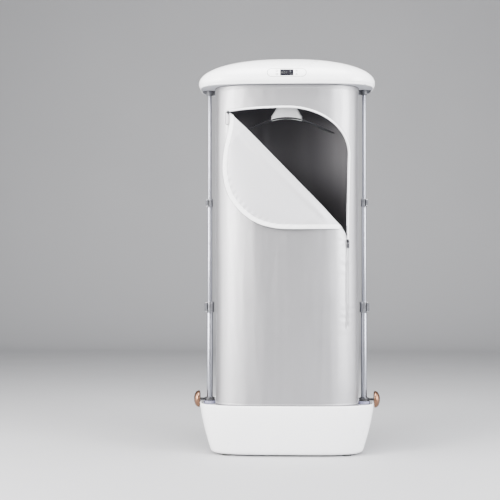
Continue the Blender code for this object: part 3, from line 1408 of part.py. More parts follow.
def make_nozzle():
    place = Matrix.Translation((0, NOZZLE_Y, 0))
    seat = DECK_TOP + GAP
    top = seat + NOZZLE_HEIGHT
    profile = [
        (NOZZLE_BORE_RADIUS, DECK_TOP - NOZZLE_STEM_LENGTH),
        (NOZZLE_STEM_RADIUS, DECK_TOP - NOZZLE_STEM_LENGTH),
        (NOZZLE_STEM_RADIUS, seat),
        (NOZZLE_RADIUS, seat),
        (NOZZLE_RADIUS, seat + NOZZLE_HEIGHT * NOZZLE_LIP_share),
        (NOZZLE_RADIUS * NOZZLE_CROWN_share, top),
        (NOZZLE_STEM_RADIUS, top),
        (NOZZLE_BORE_RADIUS, top - NOZZLE_HEIGHT * NOZZLE_LIP_share),
    ]
    nozzle = turned("steam_nozzle", profile, "satin_grey", NOZZLE_SIDES, True, place)
    half = NOZZLE_SLOT_WIDTH / 2
    for index in range(NOZZLE_SLOTS):
        turn = place @ Matrix.Rotation(2 * math.pi * (index + 0.5) / NOZZLE_SLOTS, 4, "Z")
        low = (NOZZLE_SLOT_START, -half, seat + NOZZLE_HEIGHT * NOZZLE_LIP_share)
        high = (NOZZLE_RADIUS * 2, half, top + CUT_OVERRUN)
        cut(nozzle, box(f"nozzle_slot_{index}", low, high, "satin_grey", turn))
    return nozzle


def make_inlet():
    # the wall leans, so the flange stands a little off its lower edge
    wall_y = BASE_HALF_DEPTH - base_inset(INLET_Z + INLET_HALF_HEIGHT + INLET_FLANGE)
    reach = wall_depth_share(INLET_X)
    wall_y = wall_y * reach
    half = (INLET_HALF_WIDTH, INLET_HALF_HEIGHT)
    body = box(
        "power_inlet",
        (INLET_X - half[0], wall_y - INLET_DEPTH, INLET_Z - half[1]),
        (INLET_X + half[0], wall_y + INLET_FLANGE_THICKNESS, INLET_Z + half[1]),
        "dark_plastic",
    )
    flange_low = (INLET_X - half[0] - INLET_FLANGE, wall_y + GAP, INLET_Z - half[1] - INLET_FLANGE)
    flange_high = (
        INLET_X + half[0] + INLET_FLANGE,
        wall_y + INLET_FLANGE_THICKNESS,
        INLET_Z + half[1] + INLET_FLANGE,
    )
    fuse(body, box("inlet_flange", flange_low, flange_high, "dark_plastic"))
    inner = (half[0] - INLET_WALL, half[1] - INLET_WALL)
    floor_y = wall_y - INLET_DEPTH + INLET_WALL
    well = box(
        "inlet_well",
        (INLET_X - inner[0], floor_y, INLET_Z - inner[1]),
        (INLET_X + inner[0], FAR, INLET_Z + inner[1]),
        "dark_plastic",
    )
    cut(body, well)
    for index in (-1, 0, 1):
        x = INLET_X + index * INLET_PIN_PITCH
        z = INLET_Z + (index == 0) * INLET_PIN_HALF_HEIGHT
        low = (x - INLET_PIN_HALF_WIDTH, floor_y - INLET_WALL / 2, z - INLET_PIN_HALF_HEIGHT)
        high = (x + INLET_PIN_HALF_WIDTH, floor_y + INLET_PIN_LENGTH, z + INLET_PIN_HALF_HEIGHT)
        fuse(body, box(f"inlet_pin_{index + 1}", low, high, "dark_plastic"))
    return body


def wall_depth_share(x):
    share = abs(x) / BASE_HALF_WIDTH
    return (1 - share**HOUSING_POWER) ** (1 / HOUSING_POWER)


def make_lid():
    pieces = make_lid_shell()
    pieces.append(make_lid_tray())
    pieces += [make_bracket(side) for side in (-1, 1)]
    pieces.append(make_control_board())
    pieces += make_blower()
    pieces.append(make_heater())
    pieces.append(make_duct())
    pieces.append(make_hanger("hanger_bar", 0))
    return pieces


def build():
    clear_scene()
    make_base_housing()
    make_base_floor()
    make_base_deck()
    make_feet()
    make_tank()
    make_boiler()
    make_pump()
    make_hoses()
    make_nozzle()
    make_inlet()
    lid = make_lid()
    for side in (-1, 1):
        middle, upper = make_poles(side)
        clamp = make_clamps(side)
        pivot_at((side * POLE_X, 0, UPPER_CLAMP_Z), f"middle_axis_{side_name(side)}", [middle, clamp])
        lid.append(upper)
        make_collar(side)
        make_knob(side)
    lid.append(make_cover())
    make_door_zip()
    make_flap()
    make_zip_ends()
    pivot_at((0, 0, LID_BOTTOM), "lid_axis", lid)


build()
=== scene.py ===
# Garment steam cabinet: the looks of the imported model. Metres, +Z up, front towards -Y.
import bisect
import math

import bmesh
import bpy
from mathutils import Matrix, Vector, noise


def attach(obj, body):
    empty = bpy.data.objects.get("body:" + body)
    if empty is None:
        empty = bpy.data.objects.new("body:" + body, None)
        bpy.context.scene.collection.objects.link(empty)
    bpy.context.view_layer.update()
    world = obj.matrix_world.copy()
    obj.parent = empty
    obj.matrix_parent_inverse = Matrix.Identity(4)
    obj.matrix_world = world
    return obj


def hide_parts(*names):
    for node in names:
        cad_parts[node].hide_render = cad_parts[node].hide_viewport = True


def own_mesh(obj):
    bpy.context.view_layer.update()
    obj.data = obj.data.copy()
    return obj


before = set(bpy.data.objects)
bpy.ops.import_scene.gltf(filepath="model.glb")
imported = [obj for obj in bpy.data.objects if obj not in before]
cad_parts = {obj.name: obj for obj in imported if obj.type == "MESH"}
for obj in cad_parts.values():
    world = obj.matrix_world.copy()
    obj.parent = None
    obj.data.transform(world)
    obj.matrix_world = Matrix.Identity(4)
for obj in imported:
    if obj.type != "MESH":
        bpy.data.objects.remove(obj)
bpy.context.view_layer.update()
print("frame loaded")

# view
viewSettings = {"distance": 4.64, "eyeHeight": 0.766, "lens": 79.34, "turnDegrees": 1.91, "shiftUp": 0.038}


def setCamera(settings):
    data = bpy.data.cameras.new("frontView")
    data.lens, data.sensor_width, data.shift_y = settings["lens"], 36, settings["shiftUp"]
    camera = linked("frontView", data)
    camera.location = (0, -settings["distance"], settings["eyeHeight"])
    camera.rotation_euler = (math.pi / 2, 0, math.radians(settings["turnDegrees"]))
    bpy.context.scene.camera = camera


def linked(name, data):
    item = bpy.data.objects.new(name, data)
    bpy.context.collection.objects.link(item)
    return item


setCamera(viewSettings)


# shader helpers
class Wire:
    def __init__(self, recipe, socket):
        self.recipe, self.socket = recipe, socket

    def maths(self, operation, *others):
        return self.recipe.add("ShaderNodeMath", {"operation": operation}, [self, *others])

    def __add__(self, other):
        return self.maths("ADD", other)

    def __mul__(self, other):
        return self.maths("MULTIPLY", other)

    def __sub__(self, other):
        return self.maths("SUBTRACT", other)

    def __rsub__(self, other):
        return self.recipe.add("ShaderNodeMath", {"operation": "SUBTRACT"}, [other, self])

    __radd__, __rmul__ = __add__, __mul__


class Recipe:
    # writes the nodes of one tree that ends in the named shader
    def __init__(self, tree, shader="Principled BSDF"):
        self.tree, self.shader = tree, tree.nodes[shader]

    def settle(self, settings):
        for socketName, value in settings.items():
            self.feed(socketName, value)

    def feed(self, socketName, value, node=None):
        socket = (node or self.shader).inputs[socketName]
        if isinstance(value, Wire):
            self.tree.links.new(value.socket, socket)
        elif socket.type == "RGBA" and len(value) == 3:
            socket.default_value = (*value, 1)
        else:
            socket.default_value = value

    def add(self, kind, settings, inputs, output=0):
        # node type, then its settings, then the values or wires of its sockets
        node = self.tree.nodes.new(kind)
        for name, value in settings.items():
            setattr(node, name, value)
        for name, value in (inputs if isinstance(inputs, dict) else dict(enumerate(inputs))).items():
            self.feed(name, value, node)
        return Wire(self, node.outputs[output])

    def grain(self, scale, detail=3, stretch=(1, 1, 1)):
        spot = self.add("ShaderNodeTexCoord", {}, [], "Object")
        place = self.add("ShaderNodeMapping", {}, {"Vector": spot, "Scale": stretch})
        inputs = {"Vector": place, "Scale": scale, "Detail": detail, "Roughness": 0.5}
        return self.add("ShaderNodeTexNoise", {}, inputs)

    def axes(self, space="Object"):
        spot = self.add("ShaderNodeTexCoord", {}, [], space)
        split = self.add("ShaderNodeSeparateXYZ", {}, [spot])
        return [Wire(self, split.socket.node.outputs[index]) for index in range(3)]

    def blend(self, mask, first, second):
        settings = {"data_type": "RGBA", "blend_type": "MIX"}
        return self.add("ShaderNodeMix", settings, {0: mask, 6: first, 7: second}, 2)

    def span(self, value, low, high, start=0.0, end=1.0):
        # rescales low..high to start..end and stops at both ends
        return self.add("ShaderNodeMapRange", {"clamp": True}, [value, low, high, start, end])

    def surface(self, tint, gloss, relief=None):
        # tint: mask and two colours; gloss: mask and its span; relief: height, depth and strength
        self.feed("Base Color", self.blend(*tint))
        self.feed("Roughness", self.span(*gloss))
        if relief:
            height, depth, strength = relief
            inputs = {"Strength": strength, "Distance": depth, "Height": height}
            self.feed("Normal", self.add("ShaderNodeBump", {}, inputs))


def newMaterial(name):
    material = bpy.data.materials.new(name)
    material.use_nodes = True
    return material, Recipe(material.node_tree)


def toned(tone, share):
    return tuple(min(1, part * share) for part in tone)


# stage and lights
stageSettings = {
    "floorColour": (0.38, 0.38, 0.39), "halfWidth": 9.0, "front": -9.0, "back": 7.2, "wallHeight": 7.0,
    "bend": 1.6, "bendSteps": 24,
}
lightSettings = {
    # name: place, what it faces, width, height, power, colour
    "leftBox": ((-2.75, -2.55, 1.8), (0, 0, 1.0), 1.3, 2.6, 400, (1.0, 0.985, 0.97)),
    "rightBox": ((2.95, -2.3, 1.8), (0, 0, 1.0), 1.3, 2.6, 320, (0.98, 0.985, 1.0)),
    "leftGraded": ((-1.40, -3.60, 1.8), (0, 0, 1.0), 0.7, 2.6, 30, (1.0, 0.985, 0.97)),
    "rightGraded": ((1.65, -3.40, 1.8), (0, 0, 1.0), 0.7, 2.6, 24, (0.98, 0.985, 1.0)),
    "leftEdge": ((-3.0, -0.7, 1.4), (0, 0, 1.0), 2.6, 2.8, 150, (1.0, 0.99, 0.98)),
    "rightEdge": ((3.0, -0.6, 1.4), (0, 0, 1.0), 2.6, 2.8, 120, (0.99, 0.99, 1.0)),
    "topBox": ((0, -1.2, 4.5), (0, 0, 1.2), 3.0, 2.4, 470, (1, 1, 1)),
    "frontBox": ((-0.2, -6.2, 3.6), (0, 0, 0.9), 2.4, 1.0, 30, (1, 1, 1)),
}
worldSettings = {
    "dim": (0.025, 0.025, 0.028), "bright": (0.44, 0.45, 0.47), "from": -0.92, "to": -0.38,
    "wall": (0.46, 0.465, 0.475),
}


def buildStage(settings):
    material, recipe = newMaterial("paleStudio")
    recipe.feed("Base Color", settings["floorColour"])
    recipe.feed("Roughness", recipe.span(recipe.grain(1.5), 0.3, 0.7, 0.62, 0.78))
    reach, bend, steps = settings["halfWidth"], settings["bend"], settings["bendSteps"]
    profile = [(settings["front"], 0.0), (settings["back"] - bend, 0.0)]
    for step in range(1, steps + 1):
        turn = math.pi / 2 * step / steps
        profile.append((settings["back"] - bend + bend * math.sin(turn), bend - bend * math.cos(turn)))
    profile.append((settings["back"], settings["wallHeight"]))
    mesh = bmesh.new()
    left, right = ([mesh.verts.new((x, y, z)) for y, z in profile] for x in (-reach, reach))
    for low in range(len(profile) - 1):
        mesh.faces.new((left[low], right[low], right[low + 1], left[low + 1]))
    data = bpy.data.meshes.new("studioSweep")
    mesh.to_mesh(data)
    mesh.free()
    data.shade_smooth()
    data.materials.append(material)
    linked("studioSweep", data)


def buildLights(settings):
    for name, (place, target, width, height, power, colour) in settings.items():
        data = bpy.data.lights.new(name, "AREA")
        data.shape, data.size, data.size_y = "RECTANGLE", width, height
        data.energy, data.color = power, colour
        lamp = linked(name, data)
        lamp.location = place
        lamp.rotation_euler = (Vector(target) - Vector(place)).to_track_quat("-Z", "Y").to_euler()


def buildWorld(settings):
    # the room is dim behind the camera and bright all round the rest, and the eye sees a plain pale wall
    world = bpy.data.worlds.new("studioWorld")
    world.use_nodes = True
    recipe = Recipe(world.node_tree, "Background")
    share = recipe.span(recipe.axes("Generated")[1], settings["from"], settings["to"])
    room = recipe.blend(share, settings["dim"], settings["bright"])
    seen = recipe.add("ShaderNodeLightPath", {}, [], "Is Camera Ray")
    recipe.feed("Color", recipe.blend(seen, room, settings["wall"]))
    bpy.context.scene.world = world


buildStage(stageSettings)
buildLights(lightSettings)
buildWorld(worldSettings)
print("stage ready")

# finishes
tau = 2 * math.pi


def glossMoulding(recipe, tone):
    # polished moulding: faint flow marks in the gloss, a clear coat over it
    recipe.settle({"Coat Weight": 0.4, "Coat Roughness": 0.16, "IOR": 1.49})
    recipe.surface(
        (recipe.grain(2.2, 2), tone, toned(tone, 0.975)),
        (recipe.grain(14, 4, (1, 1, 0.35)), 0.3, 0.75, 0.26, 0.34), (recipe.grain(260, 2), 0.00025, 0.05))


def moulding(recipe, tone, roughness, grainScale=1400, wear=0.10):
    # spark-eroded moulding: fine grain, with patches a little apart in tone
    recipe.surface(
        (recipe.grain(9, 4), tone, toned(tone, 1 - wear)),
        (recipe.grain(45, 3), 0.3, 0.7, roughness - 0.06, roughness + 0.08),
        (recipe.grain(grainScale, 2), 0.0004, 0.25))


def metal(recipe, tone, roughness, stretch, spread=0.05, lines=900):
    # drawn or brushed metal: long fine lines in the gloss and in the relief
    recipe.settle({"Metallic": 1.0, "IOR": 2.4})
    drawn, haze = recipe.grain(lines, 3, stretch), recipe.grain(22, 3)
    recipe.surface(
        (drawn, tone, toned(tone, 0.90)),
        (drawn * 0.6 + haze * 0.4, 0.3, 0.7, roughness, roughness + spread), (drawn, 0.0002, 0.12))


def cloth(recipe, tone, roughness, pitch, sheen, shadeBy, depth, coat=0.0, lustre=0.0):
    # woven cloth: warp runs up, weft runs round, with slubs and a soft cloudy shade
    recipe.settle({"Sheen Weight": sheen, "Sheen Roughness": 0.4, "Specular IOR Level": 0.35, "Metallic": lustre})
    x, y, z = recipe.axes()
    warp = (x * (tau / pitch) + y * (tau / pitch * 0.83)).maths("SINE")
    weft = (z * (tau / pitch)).maths("SINE")
    cloud, slub = recipe.grain(3.0, 4, (1, 1, 0.5)), recipe.grain(420, 2, (1, 1, 0.05))
    recipe.surface(
        (cloud * 0.7 + slub * 0.3, tone, toned(tone, 1 - shadeBy)),
        (slub * 0.5 + cloud * 0.5, 0.3, 0.7, roughness - 0.05, roughness + 0.07),
        (warp * weft * 0.5 + slub * 0.6, depth, 0.35))
    if coat:
        recipe.feed("Coat Weight", recipe.span(cloud, 0.3, 0.7, coat * 0.7, coat))
        recipe.feed("Coat Roughness", 0.35)


def rubber(recipe, tone, dustTone):
    recipe.settle({"Specular IOR Level": 0.3})
    dust = recipe.grain(60, 5)
    recipe.surface(
        (recipe.span(dust, 0.45, 0.8), tone, dustTone), (dust, 0.3, 0.7, 0.70, 0.9),
        (recipe.grain(900, 3), 0.0004, 0.4))


def darkGlass(recipe, tone, smudgeTone):
    recipe.settle({"Specular IOR Level": 0.012, "IOR": 1.5})
    smudge = recipe.grain(90, 4)
    recipe.surface((smudge, tone, smudgeTone), (smudge, 0.35, 0.75, 0.22, 0.32))


def glow(recipe, tone, strength):
    recipe.settle({"Base Color": (0.02, 0.02, 0.02), "Roughness": 0.6, "Emission Strength": strength})
    recipe.feed("Emission Color", recipe.blend(recipe.grain(700, 2), tone, toned(tone, 0.85)))


def etchedBoard(recipe, tone, trackTone):
    # copper tracks under a mask
    recipe.settle({"Specular IOR Level": 0.5})
    x, y, _ = recipe.axes()
    tracks = recipe.span((x * 1800).maths("SINE") + (y * 1400).maths("SINE"), 0.9, 1.1)
    recipe.surface((tracks, tone, trackTone), (recipe.grain(120), 0.3, 0.7, 0.30, 0.45), (tracks, 0.0002, 0.4))


def smokyMoulding(recipe, tone, thinTone):
    # thicker and darker towards its foot
    recipe.settle({"Coat Weight": 0.4, "Coat Roughness": 0.08, "IOR": 1.57})
    height = recipe.axes()[2]
    recipe.surface(
        (recipe.span(height + recipe.grain(6) * 0.02, 0.02, 0.16), tone, thinTone),
        (recipe.grain(30, 4), 0.3, 0.7, 0.12, 0.24), (recipe.grain(180, 2), 0.0003, 0.08))


finishKinds = {
    # finish: the material's name, the record's material that it stands for, its kind and what the kind wants
    "glossWhite": ("glossWhite", "gloss_white", glossMoulding, (0.90, 0.90, 0.91)),
    "satinGrey": ("satinGrey", "satin_grey", moulding, (0.42, 0.43, 0.46), 0.42),
    "bracketGrey": ("bracketGrey", "satin_grey", moulding, (0.058, 0.06, 0.068), 0.45),
    "deckGrey": ("deckGrey", "satin_grey", moulding, (0.62, 0.62, 0.64), 0.40),
    "lavender": ("lavenderGrey", "lavender_grey", moulding, (0.21, 0.21, 0.31), 0.36, 900),
    "black": ("blackMoulding", "dark_plastic", moulding, (0.022, 0.022, 0.025), 0.42, 1100, -0.5),
    "shadow": ("seamShadow", None, moulding, (0.045, 0.045, 0.05), 0.6),
    "print": ("panelPrint", None, moulding, (0.06, 0.06, 0.065), 0.5),
    "teeth": ("zipCoil", None, moulding, (0.52, 0.52, 0.55), 0.35, 900),
    "thread": ("sewingThread", None, moulding, (0.70, 0.70, 0.72), 0.7, 2400),
    "silicone": ("milkySilicone", "silicone", moulding, (0.62, 0.62, 0.60), 0.5, 700),
    "rubber": ("mattRubber", "rubber", rubber, (0.03, 0.03, 0.03), (0.09, 0.088, 0.085)),
    "chrome": ("drawnChrome", "chrome", metal, (0.31, 0.32, 0.36), 0.27, (1, 1, 0.02), 0.06),
    "steel": ("brushedSteel", "brushed_steel", metal, (0.27, 0.275, 0.295), 0.27, (0.05, 1, 1), 0.10),
    "darkSteel": ("darkSteel", "brushed_steel", metal, (0.030, 0.030, 0.033), 0.38, (0.05, 1, 1), 0.10),
    "castMetal": ("castAluminium", "cast_aluminium", metal, (0.48, 0.49, 0.50), 0.42, (1, 1, 1), 0.12, 350),
    "brass": ("pinMetal", None, metal, (0.75, 0.62, 0.38), 0.25, (1, 0.1, 1), 0.08),
    "rose": ("roseMetal", "rose_gold", metal, (0.25, 0.135, 0.085), 0.24, (1, 0.2, 0.2), 0.10, 700),
    "binding": ("bindingTape", None, cloth, (0.86, 0.86, 0.87), 0.60, 0.0007, 0.35, 0.05, 0.0003),
    "tape": ("zipTape", "zip_tape", cloth, (0.80, 0.80, 0.815), 0.65, 0.0006, 0.30, 0.06, 0.0003),
    "lining": (
        "liningCloth", "lining_fabric", cloth, (0.098, 0.094, 0.102), 0.62, 0.0010, 0.20, 0.12, 0.0003, 0.1),
    "pearl": (
        "pearlCloth", "pearl_fabric", cloth, (0.355, 0.351, 0.363), 0.41, 0.0011, 0.04, 0.05, 0.0002, 0.0,
        0.88),
    "flap": (
        "flapCloth", "flap_fabric", cloth, (0.50, 0.495, 0.515), 0.46, 0.0009, 0.12, 0.04, 0.0002, 0.0, 0.25),
    "digits": ("screenDigits", None, glow, (0.80, 0.84, 0.90), 0.24),
    "faintDigits": ("screenFaint", None, glow, (0.30, 0.32, 0.36), 0.05),
    "screen": ("screenGlass", "screen_glass", darkGlass, (0.006, 0.006, 0.008), (0.013, 0.013, 0.017)),
    "board": ("boardGreen", "board_green", etchedBoard, (0.012, 0.09, 0.035), (0.05, 0.20, 0.08)),
    "tank": ("smokeTank", "tank_clear", smokyMoulding, (0.20, 0.235, 0.27), (0.33, 0.37, 0.41)),
}
finishes, slotNames = {}, {}
for finish, (name, slotName, kind, *inputs) in finishKinds.items():
    finishes[finish], recipe = newMaterial(name)
    kind(recipe, *inputs)
    slotNames[name] = slotName
print("finishes ready")


# mesh helpers
def snakeCase(name):
    return "".join("_" + letter.lower() if letter.isupper() else letter for letter in name)


def newPiece(name, mesh, finish, creaseDegrees=34):
    bmesh.ops.recalc_face_normals(mesh, faces=mesh.faces)
    data = bpy.data.meshes.new(name)
    mesh.to_mesh(data)
    mesh.free()
    data.shade_smooth()
    data.set_sharp_from_angle(angle=math.radians(creaseDegrees))
    data.materials.append(finishes[finish])
    return linked(name, data)


def ride(piece, body):
    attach(piece, body)
    return piece


def standFor(piece, body, node=None):
    # the piece takes the place of the node, which has the piece's own name where none is given
    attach(piece, body)
    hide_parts(node or snakeCase(piece.name))
    return piece


def addRings(mesh, rings, place=None, loop=False):
    # skins a row of rings; a ring of one point is a tip, and loop joins the last ring to the first
    place = place or Matrix()
    rows = [[mesh.verts.new(place @ Vector(point)) for point in ring] for ring in rings]
    for first, second in list(zip(rows, rows[1:])) + ([(rows[-1], rows[0])] if loop else []):
        addStrip(mesh, first, second)
    for row in () if loop else (rows[0], rows[-1]):
        if len(row) > 2:
            mesh.faces.new(row)


def addStrip(mesh, first, second):
    count = max(len(first), len(second))
    for step in range(count):
        after = step + 1
        corners = [first[step % len(first)], first[after % len(first)]]
        corners += [second[after % len(second)], second[step % len(second)]]
        kept = list(dict.fromkeys(corners))
        if len(kept) > 2:
            mesh.faces.new(kept)


def circle(radius, height, sides):
    if radius == 0:
        return [(0, 0, height)]
    turns = [tau * step / sides for step in range(sides)]
    return [(radius * math.cos(turn), radius * math.sin(turn), height) for turn in turns]


def addTurned(mesh, profile, sides, place=None, loop=False):
    addRings(mesh, [circle(radius, height, sides) for radius, height in profile], place, loop)


def addPrism(mesh, points, low, high, place=None):
    addRings(mesh, [[(x, y, level) for x, y in points] for level in (low, high)], place)


def addFrontPrism(mesh, points, near, far):
    addRings(mesh, [[(x, depth, z) for x, z in points] for depth in (near, far)])


def addBox(mesh, low, high, place=None):
    addPrism(mesh, boxCorners(low[0], high[0], low[1], high[1]), low[2], high[2], place)


def boxCorners(left, right, low, high):
    return [(left, low), (right, low), (right, high), (left, high)]


def meshOf(*adds):
    # a mesh made by rows of an add function and its inputs
    mesh = bmesh.new()
    for add, *inputs in adds:
        add(mesh, *inputs)
    return mesh


def lofted(name, rings, finish, loop=False, place=None, creaseDegrees=34):
    return newPiece(name, meshOf((addRings, rings, place, loop)), finish, creaseDegrees)


def turned(name, profile, finish, sides=48, loop=False, place=None, creaseDegrees=34):
    return newPiece(name, meshOf((addTurned, profile, sides, place, loop)), finish, creaseDegrees)


def worked(piece):
    # works the modifiers into the mesh
    bpy.context.view_layer.update()
    graph = bpy.context.evaluated_depsgraph_get()
    made = bpy.data.meshes.new_from_object(piece.evaluated_get(graph), depsgraph=graph)
    piece.modifiers.clear()
    old = piece.data
    piece.data = made
    bpy.data.meshes.remove(old)
    return piece


def combined(piece, operation, *adds):
    # a tool, given as rows to draw or as one mesh, is taken from the piece or added to it
    mesh = adds[0] if isinstance(adds[0], bmesh.types.BMesh) else meshOf(*adds)
    data = bpy.data.meshes.new("tool")
    bmesh.ops.recalc_face_normals(mesh, faces=mesh.faces)
    mesh.to_mesh(data)
    mesh.free()
    tool = linked("tool", data)
    step = piece.modifiers.new("shape", "BOOLEAN")
    step.operation, step.solver, step.object = operation, "EXACT", tool
    worked(piece)
    bpy.data.objects.remove(tool)
    bpy.data.meshes.remove(data)
    while len(piece.data.materials) > 1:
        piece.data.materials.pop()
    piece.data.set_sharp_from_angle(angle=math.radians(34))
    return piece


def cut(piece, *adds):
    return combined(piece, "DIFFERENCE", *adds)


def unite(piece, *adds):
    return combined(piece, "UNION", *adds)


def softenEdges(piece, width=0.0006, segments=2):
    step = piece.modifiers.new("softEdges", "BEVEL")
    step.width, step.segments, step.limit_method = width, segments, "ANGLE"
    step.angle_limit = math.radians(38)
    step.harden_normals = False
    return piece


def roundOutline(halfWidth, halfDepth, power, height, sides):
    points = []
    for step in range(sides):
        turn = tau * step / sides
        along, across = math.cos(turn), math.sin(turn)
        x = math.copysign(abs(along) ** (2 / power), along)
        y = math.copysign(abs(across) ** (2 / power), across)
        points.append((halfWidth * x, halfDepth * y, height))
    return points


def arc(radius, start, end, steps, centre=(0, 0)):
    turns = [start + (end - start) * step / steps for step in range(steps + 1)]
    return [(centre[0] + radius * math.cos(turn), centre[1] + radius * math.sin(turn)) for turn in turns]


def roundedBox(halfWidth, halfHeight, corner, steps, middle=(0, 0)):
    points = []
    for turn, (across, up) in enumerate(((1, 1), (-1, 1), (-1, -1), (1, -1))):
        centre = (middle[0] + across * (halfWidth - corner), middle[1] + up * (halfHeight - corner))
        points += arc(corner, turn * math.pi / 2, (turn + 1) * math.pi / 2, steps, centre)
    return points


def shift(x=0.0, y=0.0, z=0.0):
    return Matrix.Translation((x, y, z))


def spin(angle, axis):
    return Matrix.Rotation(angle, 4, axis)


def addScrew(mesh, place, radius=0.003, height=0.0012):
    # a domed head with a cross recess cut as four lobes
    dome = ((1.0, 0.0), (1.0, 0.35), (0.88, 0.8), (0.62, 1.0))
    rings = [circle(radius * part, height * up, 24) for part, up in dome]
    for deep in (1.0, 0.3):
        lobes = [0.46 if step % 6 in (0, 1, 5) else 0.20 for step in range(24)]
        turns = [tau * step / 24 for step in range(24)]
        rings.append([(radius * lobe * math.cos(turn), radius * lobe * math.sin(turn), height * deep)
                      for lobe, turn in zip(lobes, turns)])
    addRings(mesh, rings, place)


# lid
lid = {
    "halfWidth": 0.366, "halfDepth": 0.200, "bottom": 1.515, "widest": 1.535, "top": 1.642,
    "curl": 0.0065, "wall": 0.003, "crownPower": 2.2, "edgePower": 3.6, "sides": 168,
    "grooveHeight": 0.0068, "grooveDepth": 0.0011, "grooveWidth": 0.0011, "domeSteps": 30, "innerSteps": 15,
}


def lidPower(share):
    return lid["crownPower"] + (lid["edgePower"] - lid["crownPower"]) * share


def lidRing(height, inset, share=1.0):
    halfWidth, halfDepth = lid["halfWidth"] * share - inset, lid["halfDepth"] * share - inset
    return roundOutline(halfWidth, halfDepth, lidPower(share), height, lid["sides"])


def lidFront(x, z):
    # y of the dome's front at a place seen from the front
    rise = min(1, max(0, (z - lid["widest"]) / (lid["top"] - lid["widest"])))
    share = math.sqrt(1 - rise * rise)
    across = min(1, abs(x) / (lid["halfWidth"] * share))
    return -lid["halfDepth"] * share * (1 - across ** lidPower(share)) ** (1 / lidPower(share))


def lidSkins():
    # the outer skin from the lip up over the crown, then the inner one
    low, curl, wall, dome = lid["bottom"], lid["curl"], lid["wall"], lid["top"] - lid["widest"]
    rise, groove = lid["widest"] - low, low + lid["grooveHeight"]
    wide, deep = lid["grooveWidth"], lid["grooveDepth"]
    outer = [lidRing(low + 0.0006, curl + 0.0018), lidRing(low, curl + 0.0006)]
    levels = [(low + 0.0007, 0), (low + 0.003, 0), (groove - wide * 1.3, 0), (groove - wide * 0.8, 0.25 * deep)]
    levels += [(groove - wide * 0.5, deep), (groove + wide * 0.5, deep), (groove + wide * 0.8, 0.25 * deep)]
    levels += [(groove + wide * 1.3, 0)] + [(low + rise * part, 0) for part in (0.55, 0.7, 0.85)]
    for height, depth in levels:
        part = (lid["widest"] - height) / rise
        outer.append(lidRing(height, curl * part * part + depth))
    for step in range(lid["domeSteps"]):
        turn = math.pi / 2 * (step / lid["domeSteps"]) ** 0.92
        outer.append(lidRing(lid["widest"] + dome * math.sin(turn), 0, math.cos(turn)))
    inner = [lidRing(low + 0.0004, curl + wall), lidRing(lid["widest"], wall)]
    for step in range(1, lid["innerSteps"]):
        turn = math.pi / 2 * step / lid["innerSteps"]
        height = lid["widest"] + (dome - wall) * math.sin(turn)
        inner.append(lidRing(height, wall * math.cos(turn), math.cos(turn)))
    return outer + [[(0, 0, lid["top"])]], inner + [[(0, 0, lid["top"] - wall)]]


def makeLid():
    mesh = bmesh.new()
    outer, inner = ([[mesh.verts.new(point) for point in ring] for ring in skin] for skin in lidSkins())
    for first, second in list(zip(outer, outer[1:])) + list(zip(inner, inner[1:])) + [(outer[0], inner[0])]:
        addStrip(mesh, first, second)
    shell = newPiece("lidShell", mesh, "glossWhite", 50)
    standFor(cut(shell, (addFrontPrism, pillOutline(0.0), -0.5, 0)), "lid")


# control panel and display
panel = {
    "middle": 1.559, "halfWidth": 0.0795, "halfHeight": 0.018, "seam": 0.0018, "arcSteps": 20,
    "windowWidth": 0.027, "windowHeight": 0.0135, "windowRound": 0.0016, "lit": 0.0003, "raised": 0.0006,
    "digitHeight": 0.0088, "digitWidth": 0.0047, "digitStroke": 0.0009, "digitSlant": 0.12,
    "iconX": 0.0395, "iconRise": 0.0076, "iconStroke": 0.0012, "iconScale": 1.5,
}
sevenSegments = {0: "abcdef", 6: "afgedc", 8: "abcdefg"}


def pillOutline(gap):
    radius, straight = panel["halfHeight"] - gap, panel["halfWidth"] - panel["halfHeight"]
    right = arc(radius, -math.pi / 2, math.pi / 2, panel["arcSteps"], (straight, panel["middle"]))
    left = arc(radius, math.pi / 2, 1.5 * math.pi, panel["arcSteps"], (-straight, panel["middle"]))
    runs = []
    for first, last in ((right[-1], left[0]), (left[-1], right[0])):
        runs.append([(first[0] + (last[0] - first[0]) * step / 24, first[1]) for step in range(1, 24)])
    return right + runs[0] + left + runs[1]


def windowOutline(gap):
    halfWidth, halfHeight = panel["windowWidth"] - gap, panel["windowHeight"] - gap
    return roundedBox(halfWidth, halfHeight, panel["windowRound"], 4, (0, panel["middle"]))


def filledPlate(name, outline, lift, depth, edge, finish, spacing=0.0030, holes=()):
    # a plate on the dome's front, gridded so it bends with it, cut to its outline
    xs, zs = [x for x, _ in outline], [z for _, z in outline]
    lowX, highX, lowZ, highZ = min(xs) - 0.002, max(xs) + 0.002, min(zs) - 0.002, max(zs) + 0.002
    across, up = int((highX - lowX) / spacing) + 1, int((highZ - lowZ) / spacing) + 1
    mesh = bmesh.new()
    layers = []
    for out in (lift, lift - depth):
        rows = []
        for row in range(up + 1):
            z = lowZ + (highZ - lowZ) * row / up
            line = [lowX + (highX - lowX) * step / across for step in range(across + 1)]
            rows.append([mesh.verts.new((x, lidFront(x, z) - out, z)) for x in line])
        layers.append(rows)
    first, second = layers
    sheets = [pair for rows in layers for pair in zip(rows, rows[1:])]
    sheets += [(first[0], second[0]), (first[-1], second[-1])]
    sheets += [([row[end] for row in first], [row[end] for row in second]) for end in (0, -1)]
    for near, far in sheets:
        for step in range(len(near) - 1):
            mesh.faces.new((near[step], near[step + 1], far[step + 1], far[step]))
    plate = combined(newPiece(name, mesh, finish), "INTERSECT", (addFrontPrism, outline, -0.5, 0))
    for hole in holes:
        cut(plate, (addFrontPrism, hole, -0.5, 0))
    return softenEdges(plate, edge, 3)


